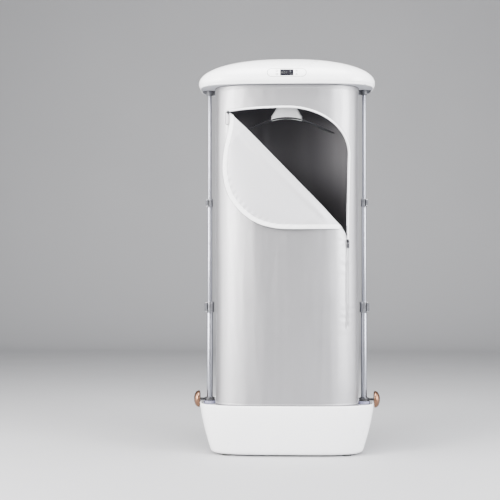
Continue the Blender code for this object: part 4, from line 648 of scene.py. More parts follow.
def strokeOnDome(mesh, points, width, lift, height=0.0003):
    # a printed line on the dome: a thin closed ribbon through the points
    rings = []
    for step, point in enumerate(points):
        before, after = Vector(points[max(step - 1, 0)]), Vector(points[min(step + 1, len(points) - 1)])
        along = (after - before).normalized()
        side = Vector((-along.y, along.x)) * width / 2
        ring = []
        for sign, out in ((1, lift), (-1, lift), (-1, lift - height), (1, lift - height)):
            x, z = point[0] + side.x * sign, point[1] + side.y * sign
            ring.append((x, lidFront(x, z) - out, z))
        rings.append(ring)
    addRings(mesh, rings)


def addDigit(mesh, value, x, z):
    wide, tall, gap = panel["digitWidth"] / 2, panel["digitHeight"] / 2, panel["digitStroke"] * 0.55
    ends = {
        "a": ((-wide + gap, tall), (wide - gap, tall)), "b": ((wide, tall - gap), (wide, gap)),
        "c": ((wide, -gap), (wide, -tall + gap)), "d": ((-wide + gap, -tall), (wide - gap, -tall)),
        "e": ((-wide, -gap), (-wide, -tall + gap)), "f": ((-wide, tall - gap), (-wide, gap)),
        "g": ((-wide + gap, 0), (wide - gap, 0)),
    }
    for segment in sevenSegments[value]:
        points = [(x + px + pz * panel["digitSlant"], z + pz) for px, pz in ends[segment]]
        strokeOnDome(mesh, points, panel["digitStroke"], panel["lit"])


def ringPoints(x, z, radius, start=0.0, end=tau, steps=18):
    turns = [start + (end - start) * step / steps for step in range(steps + 1)]
    return [(x + radius * math.sin(turn), z + radius * math.cos(turn)) for turn in turns]


def makePanel():
    plate, pane, seat = pillOutline(panel["seam"]), windowOutline(0.0003), pillOutline(-0.0012)
    holes = [windowOutline(0)]
    standFor(filledPlate("controlPanel", plate, 0.0003, 0.0026, 0.0007, "glossWhite", holes=holes), "lid")
    standFor(filledPlate("displayWindow", pane, -0.0001, 0.0022, 0.0004, "screen", 0.0022), "lid")
    # painted shadow: a dark plate set behind the panel stands for the shade in the groove round it
    ride(filledPlate("panelSeat", seat, -0.0030, 0.0015, 0.0002, "shadow", 0.0060), "lid")


def makeDisplay():
    # two bright digits and a faint one, with a small lamp and a drop beside them
    bright, dim, middle, lit = bmesh.new(), bmesh.new(), panel["middle"], panel["lit"]
    for mesh, value, place in ((bright, 6, -0.0185), (bright, 0, -0.0098), (dim, 8, -0.0012)):
        addDigit(mesh, value, place, middle)
    x = 0.0145
    strokeOnDome(bright, ringPoints(x, middle + 0.0052, 0.0023), 0.0009, lit)
    strokeOnDome(bright, [(x, middle + 0.0020), (x, middle + 0.0005)], 0.0012, lit)
    tip = (x, middle - 0.0025)
    strokeOnDome(dim, [tip] + ringPoints(x, middle - 0.0068, 0.0021, 0.6, tau - 0.6, 14) + [tip], 0.0007, lit)
    strokeOnDome(dim, ringPoints(0.0215, middle - 0.0062, 0.0024, 0.5, tau - 0.5), 0.0007, lit)
    ride(newPiece("displayDigits", bright, "digits"), "lid")
    ride(newPiece("displayFaint", dim, "faintDigits"), "lid")


def makeSigns():
    # four touch signs: power, clock, warmth and drying
    wave = [(0.0006 * math.sin(tau * step / 10), -0.0026 + 0.0052 * step / 10) for step in range(11)]
    signs = [
        (-1, 1, ringPoints(0, 0, 0.0027, 0.6, tau - 0.6), 1.0), (-1, 1, [(0, 0.0034), (0, 0.0008)], 1.0),
        (-1, -1, ringPoints(0, 0, 0.0029), 1.0), (-1, -1, [(0, 0.0019), (0, 0), (0.0015, -0.0008)], 1.0),
    ]
    signs += [(1, 1, [(x + aside, z) for x, z in wave], 0.85) for aside in (-0.0020, 0, 0.0020)]
    for turn in (0, tau / 3, 2 * tau / 3):
        turns = [turn + part for part in (-0.25, 0.05, 0.35)]
        blade = [(0.0028 * math.sin(part), 0.0028 * math.cos(part)) for part in turns]
        signs.append((1, -1, [(0, 0), *blade, (0, 0)], 0.8))
    mesh, size = bmesh.new(), panel["iconScale"]
    for across, up, points, share in signs:
        x, z = across * panel["iconX"], panel["middle"] + up * panel["iconRise"]
        line = [(x + px * size, z + pz * size) for px, pz in points]
        strokeOnDome(mesh, line, panel["iconStroke"] * share, panel["raised"])
    ride(newPiece("touchSigns", mesh, "print"), "lid")


makeLid()
makePanel()
makeDisplay()
makeSigns()
print("lid and panel ready")

# base moulding
base = {
    "halfWidth": 0.362, "halfDepth": 0.197, "top": 0.212, "low": 0.0063, "taper": 0.048, "taperPower": 1.4,
    "power": 3.6, "sides": 176, "toe": 0.012, "rim": 0.0045, "wall": 0.003, "deckTop": 0.199, "ledge": 0.004,
    "bayHalfWidth": 0.135, "bayFront": 0.040, "bayLow": 0.022, "bayTop": 0.150, "bayCorner": 0.004,
    "inletX": -0.215, "inletZ": 0.070, "inletHalfWidth": 0.0143, "inletHalfHeight": 0.0113,
}


def baseInset(height):
    return base["taper"] * max(0, (base["top"] - height) / base["top"]) ** base["taperPower"]


def baseBack(height):
    return base["halfDepth"] - baseInset(height)


def baseRing(height, inset):
    total = baseInset(height) + inset
    halfWidth, halfDepth = base["halfWidth"] - total, base["halfDepth"] - total
    return roundOutline(halfWidth, halfDepth, base["power"], height, base["sides"])


def makeBaseShell():
    low, toe, rim, top = base["low"], base["toe"], base["rim"], base["top"] - 0.0003
    rings = [baseRing(low, toe * 0.9)]
    for step in range(1, 9):
        turn = math.pi / 2 * step / 8
        rings.append(baseRing(low + toe * (1 - math.cos(turn)), toe * (1 - math.sin(turn)) * 0.9))
    shoulder = top - rim * 0.5
    rings += [baseRing(low + toe + (shoulder - low - toe) * step / 22, 0) for step in range(1, 23)]
    for step in range(1, 9):
        turn = math.pi * step / 8
        rings.append(baseRing(shoulder + rim / 2 * math.sin(turn), rim / 2 * (1 - math.cos(turn))))
    ledge, wall = base["deckTop"] - 0.0034, base["wall"]
    levels = [(ledge, rim), (ledge, rim + base["ledge"]), (ledge - 0.005, rim + base["ledge"])]
    levels.append((ledge - 0.012, wall))
    levels += [(0.018 + 0.16 * share, wall) for share in (0.8, 0.6, 0.4, 0.2, 0.0)]
    rings += [baseRing(*level) for level in levels + [(0.0098, wall + toe), (low, wall + toe)]]
    shell = lofted("baseShell", rings, "glossWhite", loop=True, creaseDegrees=42)
    bayLow, bayTop = base["bayLow"], base["bayTop"]
    halfHeight, middle = (bayTop - bayLow) / 2, (0, (bayLow + bayTop) / 2)
    bay = roundedBox(base["bayHalfWidth"], halfHeight, base["bayCorner"], 5, middle)
    x, z, wide, high = base["inletX"], base["inletZ"], base["inletHalfWidth"], base["inletHalfHeight"]
    cut(shell, (addFrontPrism, bay, base["bayFront"], 0.5))
    cut(shell, (addFrontPrism, boxCorners(x - wide, x + wide, z - high, z + high), 0, 0.5))
    standFor(shell, "base", "base_housing")


foot = {"radius": 0.0195, "treads": 3, "across": 0.68, "along": 0.52}


def makeFeet():
    profile, radius = [(0, 0.0010)], foot["radius"]
    for tread in range(foot["treads"]):
        start = radius * (0.25 + 0.22 * tread)
        profile += [(start, 0.0010), (start + 0.0004, 0.0), (start + 0.0030, 0.0), (start + 0.0034, 0.0010)]
    profile += [(radius - 0.0006, 0.0), (radius + 0.0012, 0.0010), (radius + 0.0015, 0.0022)]
    profile += [(radius + 0.0012, 0.0052), (radius + 0.0004, 0.0060), (0, 0.0060)]
    for side, word in ((-1, "Left"), (1, "Right")):
        for end, endWord in ((-1, "Front"), (1, "Back")):
            spot = shift(side * foot["across"] * base["halfWidth"], end * foot["along"] * base["halfDepth"])
            standFor(turned(f"foot{endWord}{word}", profile, "rubber", 48, place=spot), "base")


tank = {
    "halfWidth": 0.1347, "low": 0.0223, "faceTop": 0.1497, "shelf": 0.132, "faceDepth": 0.012, "gripZ": 0.118,
    "wall": 0.0025, "fillerY": 0.095, "fillerRadius": 0.016, "flutes": 9, "fluteRadius": 0.0014,
}


def makeTank():
    # the face follows the housing; a finger grip over shallow flutes
    low, high, half, wall, shelf = tank["low"], tank["faceTop"], tank["halfWidth"], tank["wall"], tank["shelf"]
    rings = [baseRing(low + (high - low) * step / 14, 0.0001) for step in range(15)]
    piece = lofted("waterTank", rings, "tank", creaseDegrees=40)
    mask = roundedBox(half, (high - low) / 2, 0.0038, 5, (0, (low + high) / 2))
    combined(piece, "INTERSECT", (addFrontPrism, mask, base["bayFront"] + 0.0003, 0.5))
    cut(piece, (addBox, (-half - 0.01, 0, shelf), (half + 0.01, baseBack(shelf) - tank["faceDepth"], 0.2)))
    backY = baseBack(low) - tank["faceDepth"] - 0.016
    frontY = base["bayFront"] + 0.0028
    cut(piece, (addBox, (-half + wall, frontY, low + wall), (half - wall, backY, shelf - wall)))
    cut(piece, (addTurned, [(tank["fillerRadius"], z) for z in (0.125, 0.15)], 40, shift(y=tank["fillerY"])))
    mouth = [(x, tank["gripZ"] + z) for x, z, _ in roundOutline(0.045, 0.011, 4, 0, 48)]
    cut(piece, (addFrontPrism, mouth, baseBack(tank["gripZ"]) - 0.016, 0.5))
    for level in range(tank["flutes"]):
        z, radius = 0.034 + 0.0065 * level, tank["fluteRadius"]
        flute = [(baseBack(z) + 0.0007 + y, z + up) for y, up, _ in circle(radius, 0, 12)]
        cut(piece, (addRings, [[(x, y, up) for y, up in flute] for x in (-0.060, 0.060)]))
    standFor(softenEdges(piece, 0.0007), "tank")


def makeCap():
    spot, seat = shift(y=tank["fillerY"]), 0.1323
    levels = [(0, 0.0048), (0.008, 0.0048), (0.0095, 0.0060), (0.0185, 0.0060), (0.0202, 0.0052)]
    levels += [(0.0210, 0.0036), (0.0210, 0.0012), (0.0204, 0), (0.0152, 0), (0.0152, -0.003)]
    levels += [(0.0156, -0.004), (0.0146, -0.0080)]
    profile = [(radius, seat + up) for radius, up in levels + [(0, -0.0080)]]
    cap = turned("tankCap", profile, "silicone", 56, place=spot)
    tab = [roundOutline(0.0055, 0.0022, 3, seat + 0.0046, 20)]
    tab.append(roundOutline(0.0050, 0.0019, 3, seat + 0.0072, 20))
    unite(cap, (addRings, tab, spot))
    standFor(softenEdges(cap, 0.0004), "cap")


makeBaseShell()
makeFeet()
makeTank()
makeCap()
print("base ready")

# poles, clamps and levers
poles = {
    "x": 0.324, "sides": 64, "lip": 0.0008, "gap": 0.0003, "foot": 0.1213, "top": 1.5162, "overlap": 0.090,
    "lowerClampZ": 0.606, "upperClampZ": 1.0439865,
    # outer and inner radius
    "lower": (0.0125, 0.0103), "middle": (0.0100, 0.0083), "upper": (0.0080, 0.0065),
}
clamp = {
    "slit": 0.002, "slotTurn": math.radians(238), "slotWidth": 0.0035, "slotDepth": 0.0035, "slotTall": 0.72,
    "barrel": 0.0042, "leverStart": math.radians(-58), "leverEnd": math.radians(68), "leverThick": 0.0026,
    "leverClear": 0.0008, "chamfer": 0.0013, "bead": 0.0006, "lugLow": 0.0015, "lugHigh": 0.0055,
    "shaft": 0.0017, "head": 0.0026, "plateSteps": 34, "plateCorner": 0.0012, "dimple": 0.0022,
    # radius, height, lower and upper bore
    "lower": (0.0185, 0.045, 0.0128, 0.0103), "upper": (0.0135, 0.034, 0.0103, 0.0083),
}
sideWords = {-1: "Left", 1: "Right"}


def polePlace(side):
    return shift(side * poles["x"]) @ Matrix.Diagonal((side, 1, 1, 1))


def makePole(kind, side, low, high, body):
    # drawn tube with rolled ends
    lip, (outer, inner) = poles["lip"], poles[kind]
    profile = [(outer - lip, low), (outer - lip * 0.3, low + lip * 0.3), (outer, low + lip)]
    profile += [(outer, high - lip), (outer - lip * 0.3, high - lip * 0.3), (outer - lip, high)]
    profile += [(inner, high), (inner, low)]
    name = f"{kind}Pole{sideWords[side]}"
    standFor(turned(name, profile, "chrome", poles["sides"], True, polePlace(side), 30), body)


def leverPivot(radius):
    reach = radius + clamp["barrel"]
    return reach * math.cos(clamp["leverStart"]), reach * math.sin(clamp["leverStart"])


def makeClamp(kind, side, middleZ, body):
    radius, height, lowerBore, upperBore = clamp[kind]
    place, word, pivot = polePlace(side), sideWords[side], leverPivot(radius)
    low, high, edge = middleZ - height / 2, middleZ + height / 2, clamp["chamfer"]
    band, bead = height * 0.30, clamp["bead"]
    profile = [(lowerBore, low), (radius - edge, low)]
    profile += [(radius - edge * 0.3, low + edge * 0.3), (radius, low + edge)]
    profile += [(radius, low + band), (radius - bead, low + band + bead), (radius - bead, high - band - bead)]
    profile += [(radius, high - band), (radius, high - edge), (radius - edge * 0.3, high - edge * 0.3)]
    profile += [(radius - edge, high), (upperBore, high), (upperBore, middleZ), (lowerBore, middleZ)]
    piece = turned(f"{kind}Clamp{word}", profile, "steel", 72, True, place, 30)
    out = Vector(pivot).normalized()
    across, root = Vector((-out.y, out.x)) * clamp["barrel"], out * (radius - 0.003)
    start = math.atan2(out.y, out.x)
    lug = [tuple(root - across)] + arc(clamp["barrel"], start - math.pi / 2, start + math.pi / 2, 16, pivot)
    lug.append(tuple(root + across))
    near, far = clamp["lugLow"], clamp["lugHigh"]
    for lugLow, lugHigh in ((low + near, low + far), (high - far, high - near)):
        unite(piece, (addPrism, lug, lugLow, lugHigh, place))
    slit = clamp["slit"] / 2
    cut(piece, (addBox, (-radius - 0.004, -slit, middleZ), (-upperBore + 0.003, slit, high + 0.004), place))
    cut(piece, (addPrism, *slotShape(height), place @ slotPlace(radius, middleZ)))
    standFor(softenEdges(piece, 0.0004), body)
    shaft, head, pinLow, pinHigh = clamp["shaft"], clamp["head"], low + 0.0006, high - 0.0006
    half = [(0, 0), (head * 0.7, 0), (head, 0.0005), (head, 0.0009), (shaft, 0.0009)]
    profile = [(r, pinLow + up) for r, up in half] + [(r, pinHigh - up) for r, up in half[::-1]]
    pinPlace = place @ shift(*pivot)
    ride(newPiece(f"{kind}Pin{word}", meshOf((addTurned, profile, 24, pinPlace)), "brass"), body)
    makeLever(kind, side, radius, low + far, high - far, middleZ)


def slotPlace(radius, middleZ):
    return spin(clamp["slotTurn"], "Z") @ shift(radius + 0.003, 0, middleZ) @ spin(-math.pi / 2, "Y")


def slotShape(height):
    tall, half = height * clamp["slotTall"] / 2, clamp["slotWidth"] / 2
    turns = [math.pi * step / 8 for step in range(9)]
    shape = [(tall - half + half * math.sin(turn), half * math.cos(turn)) for turn in turns]
    shape += [(-tall + half - half * math.sin(turn), -half * math.cos(turn)) for turn in turns]
    return shape, 0, clamp["slotDepth"] + 0.003


def makeLever(kind, side, radius, low, high, middleZ):
    # a pressed plate that hugs the collar: thicker at the knuckle, a finger lip rolled out at its end
    place, pivot = polePlace(side), leverPivot(radius)
    inner = radius + clamp["leverClear"]
    outer = inner + clamp["leverThick"]
    bottom, top, corner, start = low + 0.0003, high - 0.0003, clamp["plateCorner"], clamp["leverStart"] + 0.10
    rings = []
    for step in range(clamp["plateSteps"] + 1):
        share = step / clamp["plateSteps"]
        turn = start + (clamp["leverEnd"] - start) * share
        swell = 0.0007 * math.sin(math.pi * min(1, share * 1.6))
        lip = 0.0026 * max(0, (share - 0.86) / 0.14) ** 1.5
        trim = 0.0030 * max(0, (share - 0.80) / 0.20) ** 2 + 0.0004
        under, over, near, far = bottom + trim, top - trim, inner + lip * 0.9, outer + swell + lip
        section = [(near, under + corner * 0.3), (near, over - corner * 0.3), (far - corner, over)]
        section += [(far - corner * 0.3, over - corner * 0.3), (far, over - corner), (far, under + corner)]
        section += [(far - corner * 0.3, under + corner * 0.3), (far - corner, under)]
        rings.append([(r * math.cos(turn), r * math.sin(turn), z) for r, z in section])
    name, barrel = f"{kind}Lever{sideWords[side]}", clamp["barrel"] - 0.0003
    lever = lofted(name, rings, "bracketGrey", place=place, creaseDegrees=38)
    knuckle = [(0, bottom), (barrel - 0.0006, bottom), (barrel, bottom + 0.0006)]
    knuckle += [(barrel, top - 0.0006), (barrel - 0.0006, top), (0, top)]
    unite(lever, (addTurned, knuckle, 32, place @ shift(*pivot)))
    for level in (-0.2, 0.2):
        # two dimples pressed into the outside of the plate
        height = middleZ + level * (high - low)
        spot = place @ spin(clamp["leverStart"] * 0.30, "Z") @ shift(outer + 0.0021, 0, height)
        cut(lever, (addBall, clamp["dimple"], spot))
    cut(lever, (addTurned, [(0.0021, 0), (0.0021, 2)], 24, place @ shift(*pivot)))
    standFor(softenEdges(lever, 0.0003), snakeCase(name))


def addBall(mesh, radius, place):
    bmesh.ops.create_uvsphere(mesh, u_segments=16, v_segments=10, radius=radius, matrix=place)


# collars and side knobs
collar = {
    "nutRadius": 0.0252, "nutHeight": 0.0125, "bore": 0.0128, "ribs": 36, "rib": 0.0011, "ringRadius": 0.0215,
    "ringHeight": 0.0145, "gap": 0.0003, "hole": 0.0041,
}
knob = {
    "inner": 0.3655, "outer": 0.3910, "radius": 0.035, "rim": 0.006, "bore": 0.0059, "boreDepth": 0.009,
    "sides": 96, "threads": 7, "neck": 0.0038, "stem": 0.0056, "root": 0.0051,
}


def ribbed(radius, height, rib):
    points = []
    for step in range(collar["ribs"] * 6):
        turn = tau * step / (collar["ribs"] * 6)
        reach = radius + rib * (0.5 + 0.5 * math.cos(turn * collar["ribs"])) ** 1.5
        points.append((reach * math.cos(turn), reach * math.sin(turn), height))
    return points


def makeCollar(side):
    place, word = polePlace(side), sideWords[side]
    rib, bore, sides = collar["rib"], collar["bore"], collar["ribs"] * 6
    low = base["deckTop"] + collar["gap"]
    high, top, skirt = low + collar["nutHeight"], collar["nutRadius"] - 0.0020, collar["nutRadius"] - rib
    rings = [ribbed(skirt - 0.0008, low, 0.2 * rib), ribbed(skirt, low + 0.0008, rib)]
    rings.append(ribbed(skirt, high - 0.0022, rib))
    rings += [ribbed(skirt - 0.0006, high - 0.0010, rib * 0.5), ribbed(top, high - 0.0001, 0)]
    rings += [circle(top - 0.0006, high, sides), circle(bore + 0.001, high, sides)]
    rings += [circle(bore, high - 0.001, sides), circle(bore, low, sides)]
    standFor(lofted(f"collarNut{word}", rings, "lavender", True, place, 40), "base")
    start, radius = high + collar["gap"], collar["ringRadius"]
    end = start + collar["ringHeight"]
    middle = (start + end) / 2
    profile = [(bore, start), (radius - 0.0008, start), (radius, start + 0.0008), (radius, middle - 0.0009)]
    profile += [(radius - 0.0005, middle - 0.0004), (radius - 0.0005, middle + 0.0004)]
    profile.append((radius, middle + 0.0009))
    profile += [(radius, end - 0.0018), (radius - 0.0005, end - 0.0006), (radius - 0.0018, end), (bore, end)]
    ring = turned(f"clampRing{word}", profile, "black", 72, True, place)
    sideways = shift(side * poles["x"], 0, middle) @ spin(side * math.pi / 2, "Y")
    standFor(cut(ring, (addTurned, [(collar["hole"], 0), (collar["hole"], 0.05)], 32, sideways)), "base")


def makeKnob(side):
    word, inner, radius, bore = sideWords[side], knob["inner"], knob["radius"], knob["bore"]
    knobZ = base["deckTop"] + 2 * collar["gap"] + collar["nutHeight"] + collar["ringHeight"] / 2
    place = shift(z=knobZ) @ spin(side * math.pi / 2, "Y")
    profile = [(0, knob["boreDepth"]), (bore, knob["boreDepth"]), (bore, 0.0005), (bore + 0.0005, 0)]
    profile += [(radius * 0.40, 0), (radius * 0.42, 0.0012), (radius * 0.80, 0.0012), (radius * 0.82, 0)]
    profile += [(radius - 0.0030, 0), (radius - 0.0012, 0.0007), (radius - 0.0003, 0.0020), (radius, 0.0034)]
    profile = [(r, inner + up) for r, up in profile]
    rim = inner + knob["rim"]
    dome = knob["outer"] - rim
    for step in range(0, 25):
        turn = math.radians(88) * step / 24
        profile.append((radius * math.cos(turn), rim + dome * math.sin(turn)))
    piece = turned(f"sideKnob{word}", profile + [(0, knob["outer"])], "rose", knob["sides"], False, place, 40)
    # a fine turned groove round the dome's foot
    reach, level, wide = radius * math.cos(math.asin(min(1, 0.0010 / dome))), rim + 0.0010, 0.0005
    groove = [(reach + 0.002, level + wide), (reach - 0.0006, level), (reach + 0.002, level - wide)]
    standFor(cut(piece, (addTurned, groove, knob["sides"], place, True)), f"knob_{word.lower()}")
    tip, shoulder = poles["x"] + 0.0128, poles["x"] + collar["ringRadius"] + collar["gap"]
    end, start, stem, root = inner + knob["boreDepth"] - 0.0003, shoulder + 0.0014, knob["stem"], knob["root"]
    profile = [(0, tip), (0.0034, tip), (knob["neck"], tip + 0.0004), (knob["neck"], shoulder)]
    profile += [(0.0052, shoulder), (stem, shoulder + 0.0004)]
    pitch = (inner - 0.0006 - start) / knob["threads"]
    for thread in range(knob["threads"]):
        turns = ((stem, 0), (root, 0.35), (root, 0.6), (stem, 0.95))
        profile += [(r, start + pitch * thread + pitch * part) for r, part in turns]
    profile += [(stem, end - 0.0004), (0.0052, end), (0, end)]
    standFor(turned(f"knobStem{word}", profile, "black", 40, False, place), f"knob_{word.lower()}")


for side in (-1, 1):
    lowZ, highZ = poles["lowerClampZ"], poles["upperClampZ"]
    middleBody = f"middle_{sideWords[side].lower()}"
    makePole("lower", side, poles["foot"], lowZ - poles["gap"], "base")
    makePole("middle", side, lowZ - poles["overlap"], highZ - poles["gap"], middleBody)
    makePole("upper", side, highZ - poles["overlap"], poles["top"], "lid")
    makeClamp("lower", side, lowZ, "base")
    makeClamp("upper", side, highZ, middleBody)
    makeCollar(side)
    makeKnob(side)
print("poles ready")

# the tube's plan, its door, and how its cloth hangs
tube = {
    "halfWidth": 0.298, "halfDepth": 0.167, "power": 3.3, "low": 0.1993, "high": 1.5162, "samples": 2400,
    "rows": (118, 24, 42), "columnPitch": 0.0085, "settle": 0.26, "settleLevels": (1.16, 1.29),
    "coverWall": 0.0013, "liningInset": 0.0042, "liningWall": 0.0011, "ease": 0.008, "hem": 0.017,
    "flatHeight": 1.317, "squashKeep": 0.423,
}
door = {
    "left": (-0.23709, 1.4080), "right": (0.24680, 0.9108), "top": 1.423, "shoulder": 1.235, "dip": 0.012,
    "lean": 0.0082, "leanFade": 0.09, "rest": (0.2460, 0.8800), "zipEnd": 0.527, "corner": 0.95, "band": 0.0065,
    "slit": ((0.2292, 0.9250), (0.2358, 0.9150), (0.2410, 0.9010)),
}
foldStart, foldEnd = Vector(door["left"]), Vector(door["right"])
foldLine = foldEnd - foldStart
foldLength, foldAlong = foldLine.length, foldLine.normalized()
foldAcross = Vector((-foldAlong.y, foldAlong.x))


def runLength(points):
    reach = [0.0]
    for first, second in zip(points, points[1:]):
        reach.append(reach[-1] + (Vector(second) - Vector(first)).length)
    return reach


def paced(points, count):
    # walks a line of points at an even pitch
    reach, low = runLength(points), 0
    for step in range(count + 1):
        wanted = reach[-1] * step / count
        while low < len(points) - 2 and reach[low + 1] < wanted:
            low += 1
        part = (wanted - reach[low]) / max(1e-12, reach[low + 1] - reach[low])
        yield Vector(points[low]).lerp(Vector(points[low + 1]), part)


def makeRimTable():
    # the plan walked from the middle of the back, round by the left side: place and outward direction
    halfWidth, halfDepth, power, count = tube["halfWidth"], tube["halfDepth"], tube["power"], 8000
    fine = []
    for step in range(count + 1):
        turn = math.pi / 2 + tau * step / count
        along, across = math.cos(turn), math.sin(turn)
        x = halfWidth * math.copysign(abs(along) ** (2 / power), along)
        fine.append((x, halfDepth * math.copysign(abs(across) ** (2 / power), across)))
    table = []
    for x, y in paced(fine, tube["samples"]):
        outX = math.copysign((abs(x) / halfWidth) ** (power - 1) / halfWidth, x)
        out = Vector((outX, math.copysign((abs(y) / halfDepth) ** (power - 1) / halfDepth, y))).normalized()
        table.append((x, y, out.x, out.y))
    return table, runLength(fine)[-1]


rimTable, rimLength = makeRimTable()
clothRound = rimLength + tube["ease"]
frontTable = [entry[0] for entry in rimTable[tube["samples"] // 4:tube["samples"] * 3 // 4 + 1]]


def rimAt(s):
    # s runs along the cloth: 0 at the front middle, growing to the right as seen from the front
    place = ((s / rimLength + 0.5) % 1.0) * tube["samples"]
    low = int(place)
    first, second = rimTable[low], rimTable[min(low + 1, tube["samples"])]
    return [before + (after - before) * (place - low) for before, after in zip(first, second)]


def alongOf(x):
    # the distance along the cloth of this place across the front
    low = min(len(frontTable) - 2, max(0, bisect.bisect_right(frontTable, x) - 1))
    part = (x - frontTable[low]) / max(1e-9, frontTable[low + 1] - frontTable[low])
    return ((low + part + tube["samples"] // 4) / tube["samples"] - 0.5) * rimLength


def onCloth(spot):
    return alongOf(spot[0]), spot[1]


def smooth(value, start, end):
    part = min(1, max(0, (value - start) / (end - start)))
    return part * part * (3 - 2 * part)


def bell(value, width):
    return math.exp(-((value / width) ** 2))


def wavy(*place):
    return noise.noise(Vector(place))


sLeft, sRight, sRest = (alongOf(door[key][0]) for key in ("left", "right", "rest"))
restSpot = (sRest, door["rest"][1])
leanAlong = alongOf(door["right"][0] + door["lean"]) - sRight
cornerSpot = foldStart + foldLine * door["corner"]
slitLine = [cornerSpot] + [Vector(spot) for spot in door["slit"]] + [Vector(door["rest"]), foldEnd]


def leanTo(s, z):
    # the right edge of the doorway leans outwards, and the weave goes with it
    climb = min(1, max(0, (z - door["right"][1]) / (door["shoulder"] - door["right"][1])))
    return s + leanAlong * climb * (1 - smooth(abs(s - sRight), 0, door["leanFade"]))


def coverLift(s, z):
    # how far the cloth stands off its plan: still at both hoops, soft waves and a few drag folds between
    low, high = tube["low"], tube["high"]
    east, north = math.cos(tau * s / rimLength), math.sin(tau * s / rimLength)
    fade = smooth(z, low + 0.006, 0.30) * smooth(high - z, 0.008, 0.10)
    lift = 0.0026 * wavy(east * 1.1, north * 1.1, z * 0.8 + 4)
    lift += 0.0016 * wavy(east * 3.4, north * 3.4, z * 1.3 + 9) + 0.0006 * wavy(east * 11, north * 11, z * 5)
    lift = lift * fade + 0.0006 * fade
    gather = math.exp(-max(0, z - 0.212) / 0.07) * smooth(z, low + 0.004, low + 0.03)
    gather += 0.6 * math.exp(-max(0, 1.505 - z) / 0.05) * smooth(high - z, 0.006, 0.022)
    lift += 0.0009 * gather * math.sin(s * 105 + 2.4 * wavy(s * 9, 0.3, 2)) * (0.6 + 0.8 * wavy(s * 6, 1.7, 5))
    if s > 0 and door["zipEnd"] - 0.05 < z < door["right"][1] + 0.03:
        # puckers where the closed zip is sewn in
        wave = math.sin(z * 175 + 3 * wavy(z * 14, 4, 1)) * (0.5 + wavy(z * 11, 7, 3))
        lift += 0.0006 * bell(abs(s - sRest) - 0.016, 0.012) * wave
    drag = Vector((s - sRest, z - door["rest"][1]))
    if drag.length < 0.16 and drag.y < 0.02 and drag.x < 0:
        # pulls running from the slider down into the wall
        pull = math.sin(math.atan2(-drag.x, -drag.y) * 7) * smooth(drag.length, 0.004, 0.02)
        lift += 0.0008 * math.exp(-drag.length / 0.05) * pull
    return max(-0.0009, lift)


def offRim(spot, stand):
    x, y, outX, outY = rimAt(spot[0])
    return Vector((x + outX * stand, y + outY * stand, spot[1]))


def onWall(spot, off):
    # spot holds the distance along the cloth and the height
    return offRim(spot, off + coverLift(*spot))


def onLining(spot, off):
    # looser than the cover: long soft folds hang between the hoops
    s, z = spot
    east, north = math.cos(tau * s / rimLength), math.sin(tau * s / rimLength)
    fade = smooth(z, tube["low"] + 0.01, 0.34) * smooth(tube["high"] - z, 0.012, 0.16)
    nearDoor = 0.25 if -0.30 < s < 0.32 else 1.0
    fold = 0.5 + 0.5 * math.sin(s * 44 + 2.6 * wavy(east * 2, north * 2, z * 0.9))
    cloud = wavy(east * 2.2, north * 2.2, z * 1.6 + 20)
    return offRim(spot, off - fade * nearDoor * (0.0045 * fold * fold + 0.003 * max(0, cloud) + 0.0006))


def tubeDepth(x):
    share = min(1, abs(x) / tube["halfWidth"])
    return tube["halfDepth"] * (1 - share ** tube["power"]) ** (1 / tube["power"])


def archTop(x):
    if x < 0:
        return door["top"] - door["dip"] * (x / door["left"][0]) ** 2
    across = min(1, x / (door["right"][0] + door["lean"]))
    return door["shoulder"] + (door["top"] - door["shoulder"]) * math.sqrt(1 - across * across)


# bands and blocks sewn on the cloth
def evenly(points, pitch):
    # stations along a line: each one's point, its way on, and the side to its left
    count = max(2, round(runLength(points)[-1] / pitch))
    spots, walk = list(paced(points, count)), []
    for step, spot in enumerate(spots):
        way = (spots[min(step + 1, count)] - spots[max(step - 1, 0)]).normalized()
        walk.append((spot, way, Vector((-way.y, way.x))))
    return walk


def layBand(mesh, walk, lay, section, loop=False):
    # a sewn band: its section is a ring of (sideways, off) points
    rings = [[lay(spot + aside * sideways, off) for sideways, off in section] for spot, _, aside in walk]
    addRings(mesh, rings, loop=loop)


def bandSection(low, high, bottom, top, steps=4, edge=0.0004):
    across, middle = [low + (high - low) * step / steps for step in range(1, steps)], (bottom + top) / 2
    upper = [(low + edge * 0.2, middle), (low + edge, top)] + [(place, top) for place in across]
    upper += [(high - edge, top), (high - edge * 0.2, middle)]
    return upper + [(high, bottom)] + [(place, bottom) for place in across[::-1]] + [(low, bottom)]


def layBlocks(mesh, walk, lay, along, low, high, bottom, top, taper=0.75):
    # zip teeth and stitches: small blocks a little narrower on top
    middle, half = (low + high) / 2, (high - low) / 2
    for spot, way, aside in walk:
        rings = []
        for off, shrink in ((bottom, 1.0), ((bottom + top) / 2, 1.0), (top, taper)):
            corners = [(x * along * shrink, middle + y * half * shrink) for x, y in boxCorners(-1, 1, -1, 1)]
            rings.append([lay(spot + way * forth + aside * sideways, off) for forth, sideways in corners])
        addRings(mesh, rings)


stitch = {"pitch": 0.0031, "half": 0.0011, "halfWidth": 0.0002}


def layStitches(mesh, line, lay, aside, bottom, top, pitch=stitch["pitch"]):
    thread = stitch["halfWidth"]
    layBlocks(mesh, evenly(line, pitch), lay, stitch["half"], aside - thread, aside + thread, bottom, top)


def lowEdge(x):
    # the fold, then the slit that runs down to the slider and back up
    if x <= cornerSpot.x:
        return foldStart.y + foldLine.y * (x - foldStart.x) / foldLine.x
    for first, second in zip(slitLine, slitLine[1:]):
        if x <= second.x:
            return first.y + (second.y - first.y) * (x - first.x) / (second.x - first.x)
    return foldEnd.y


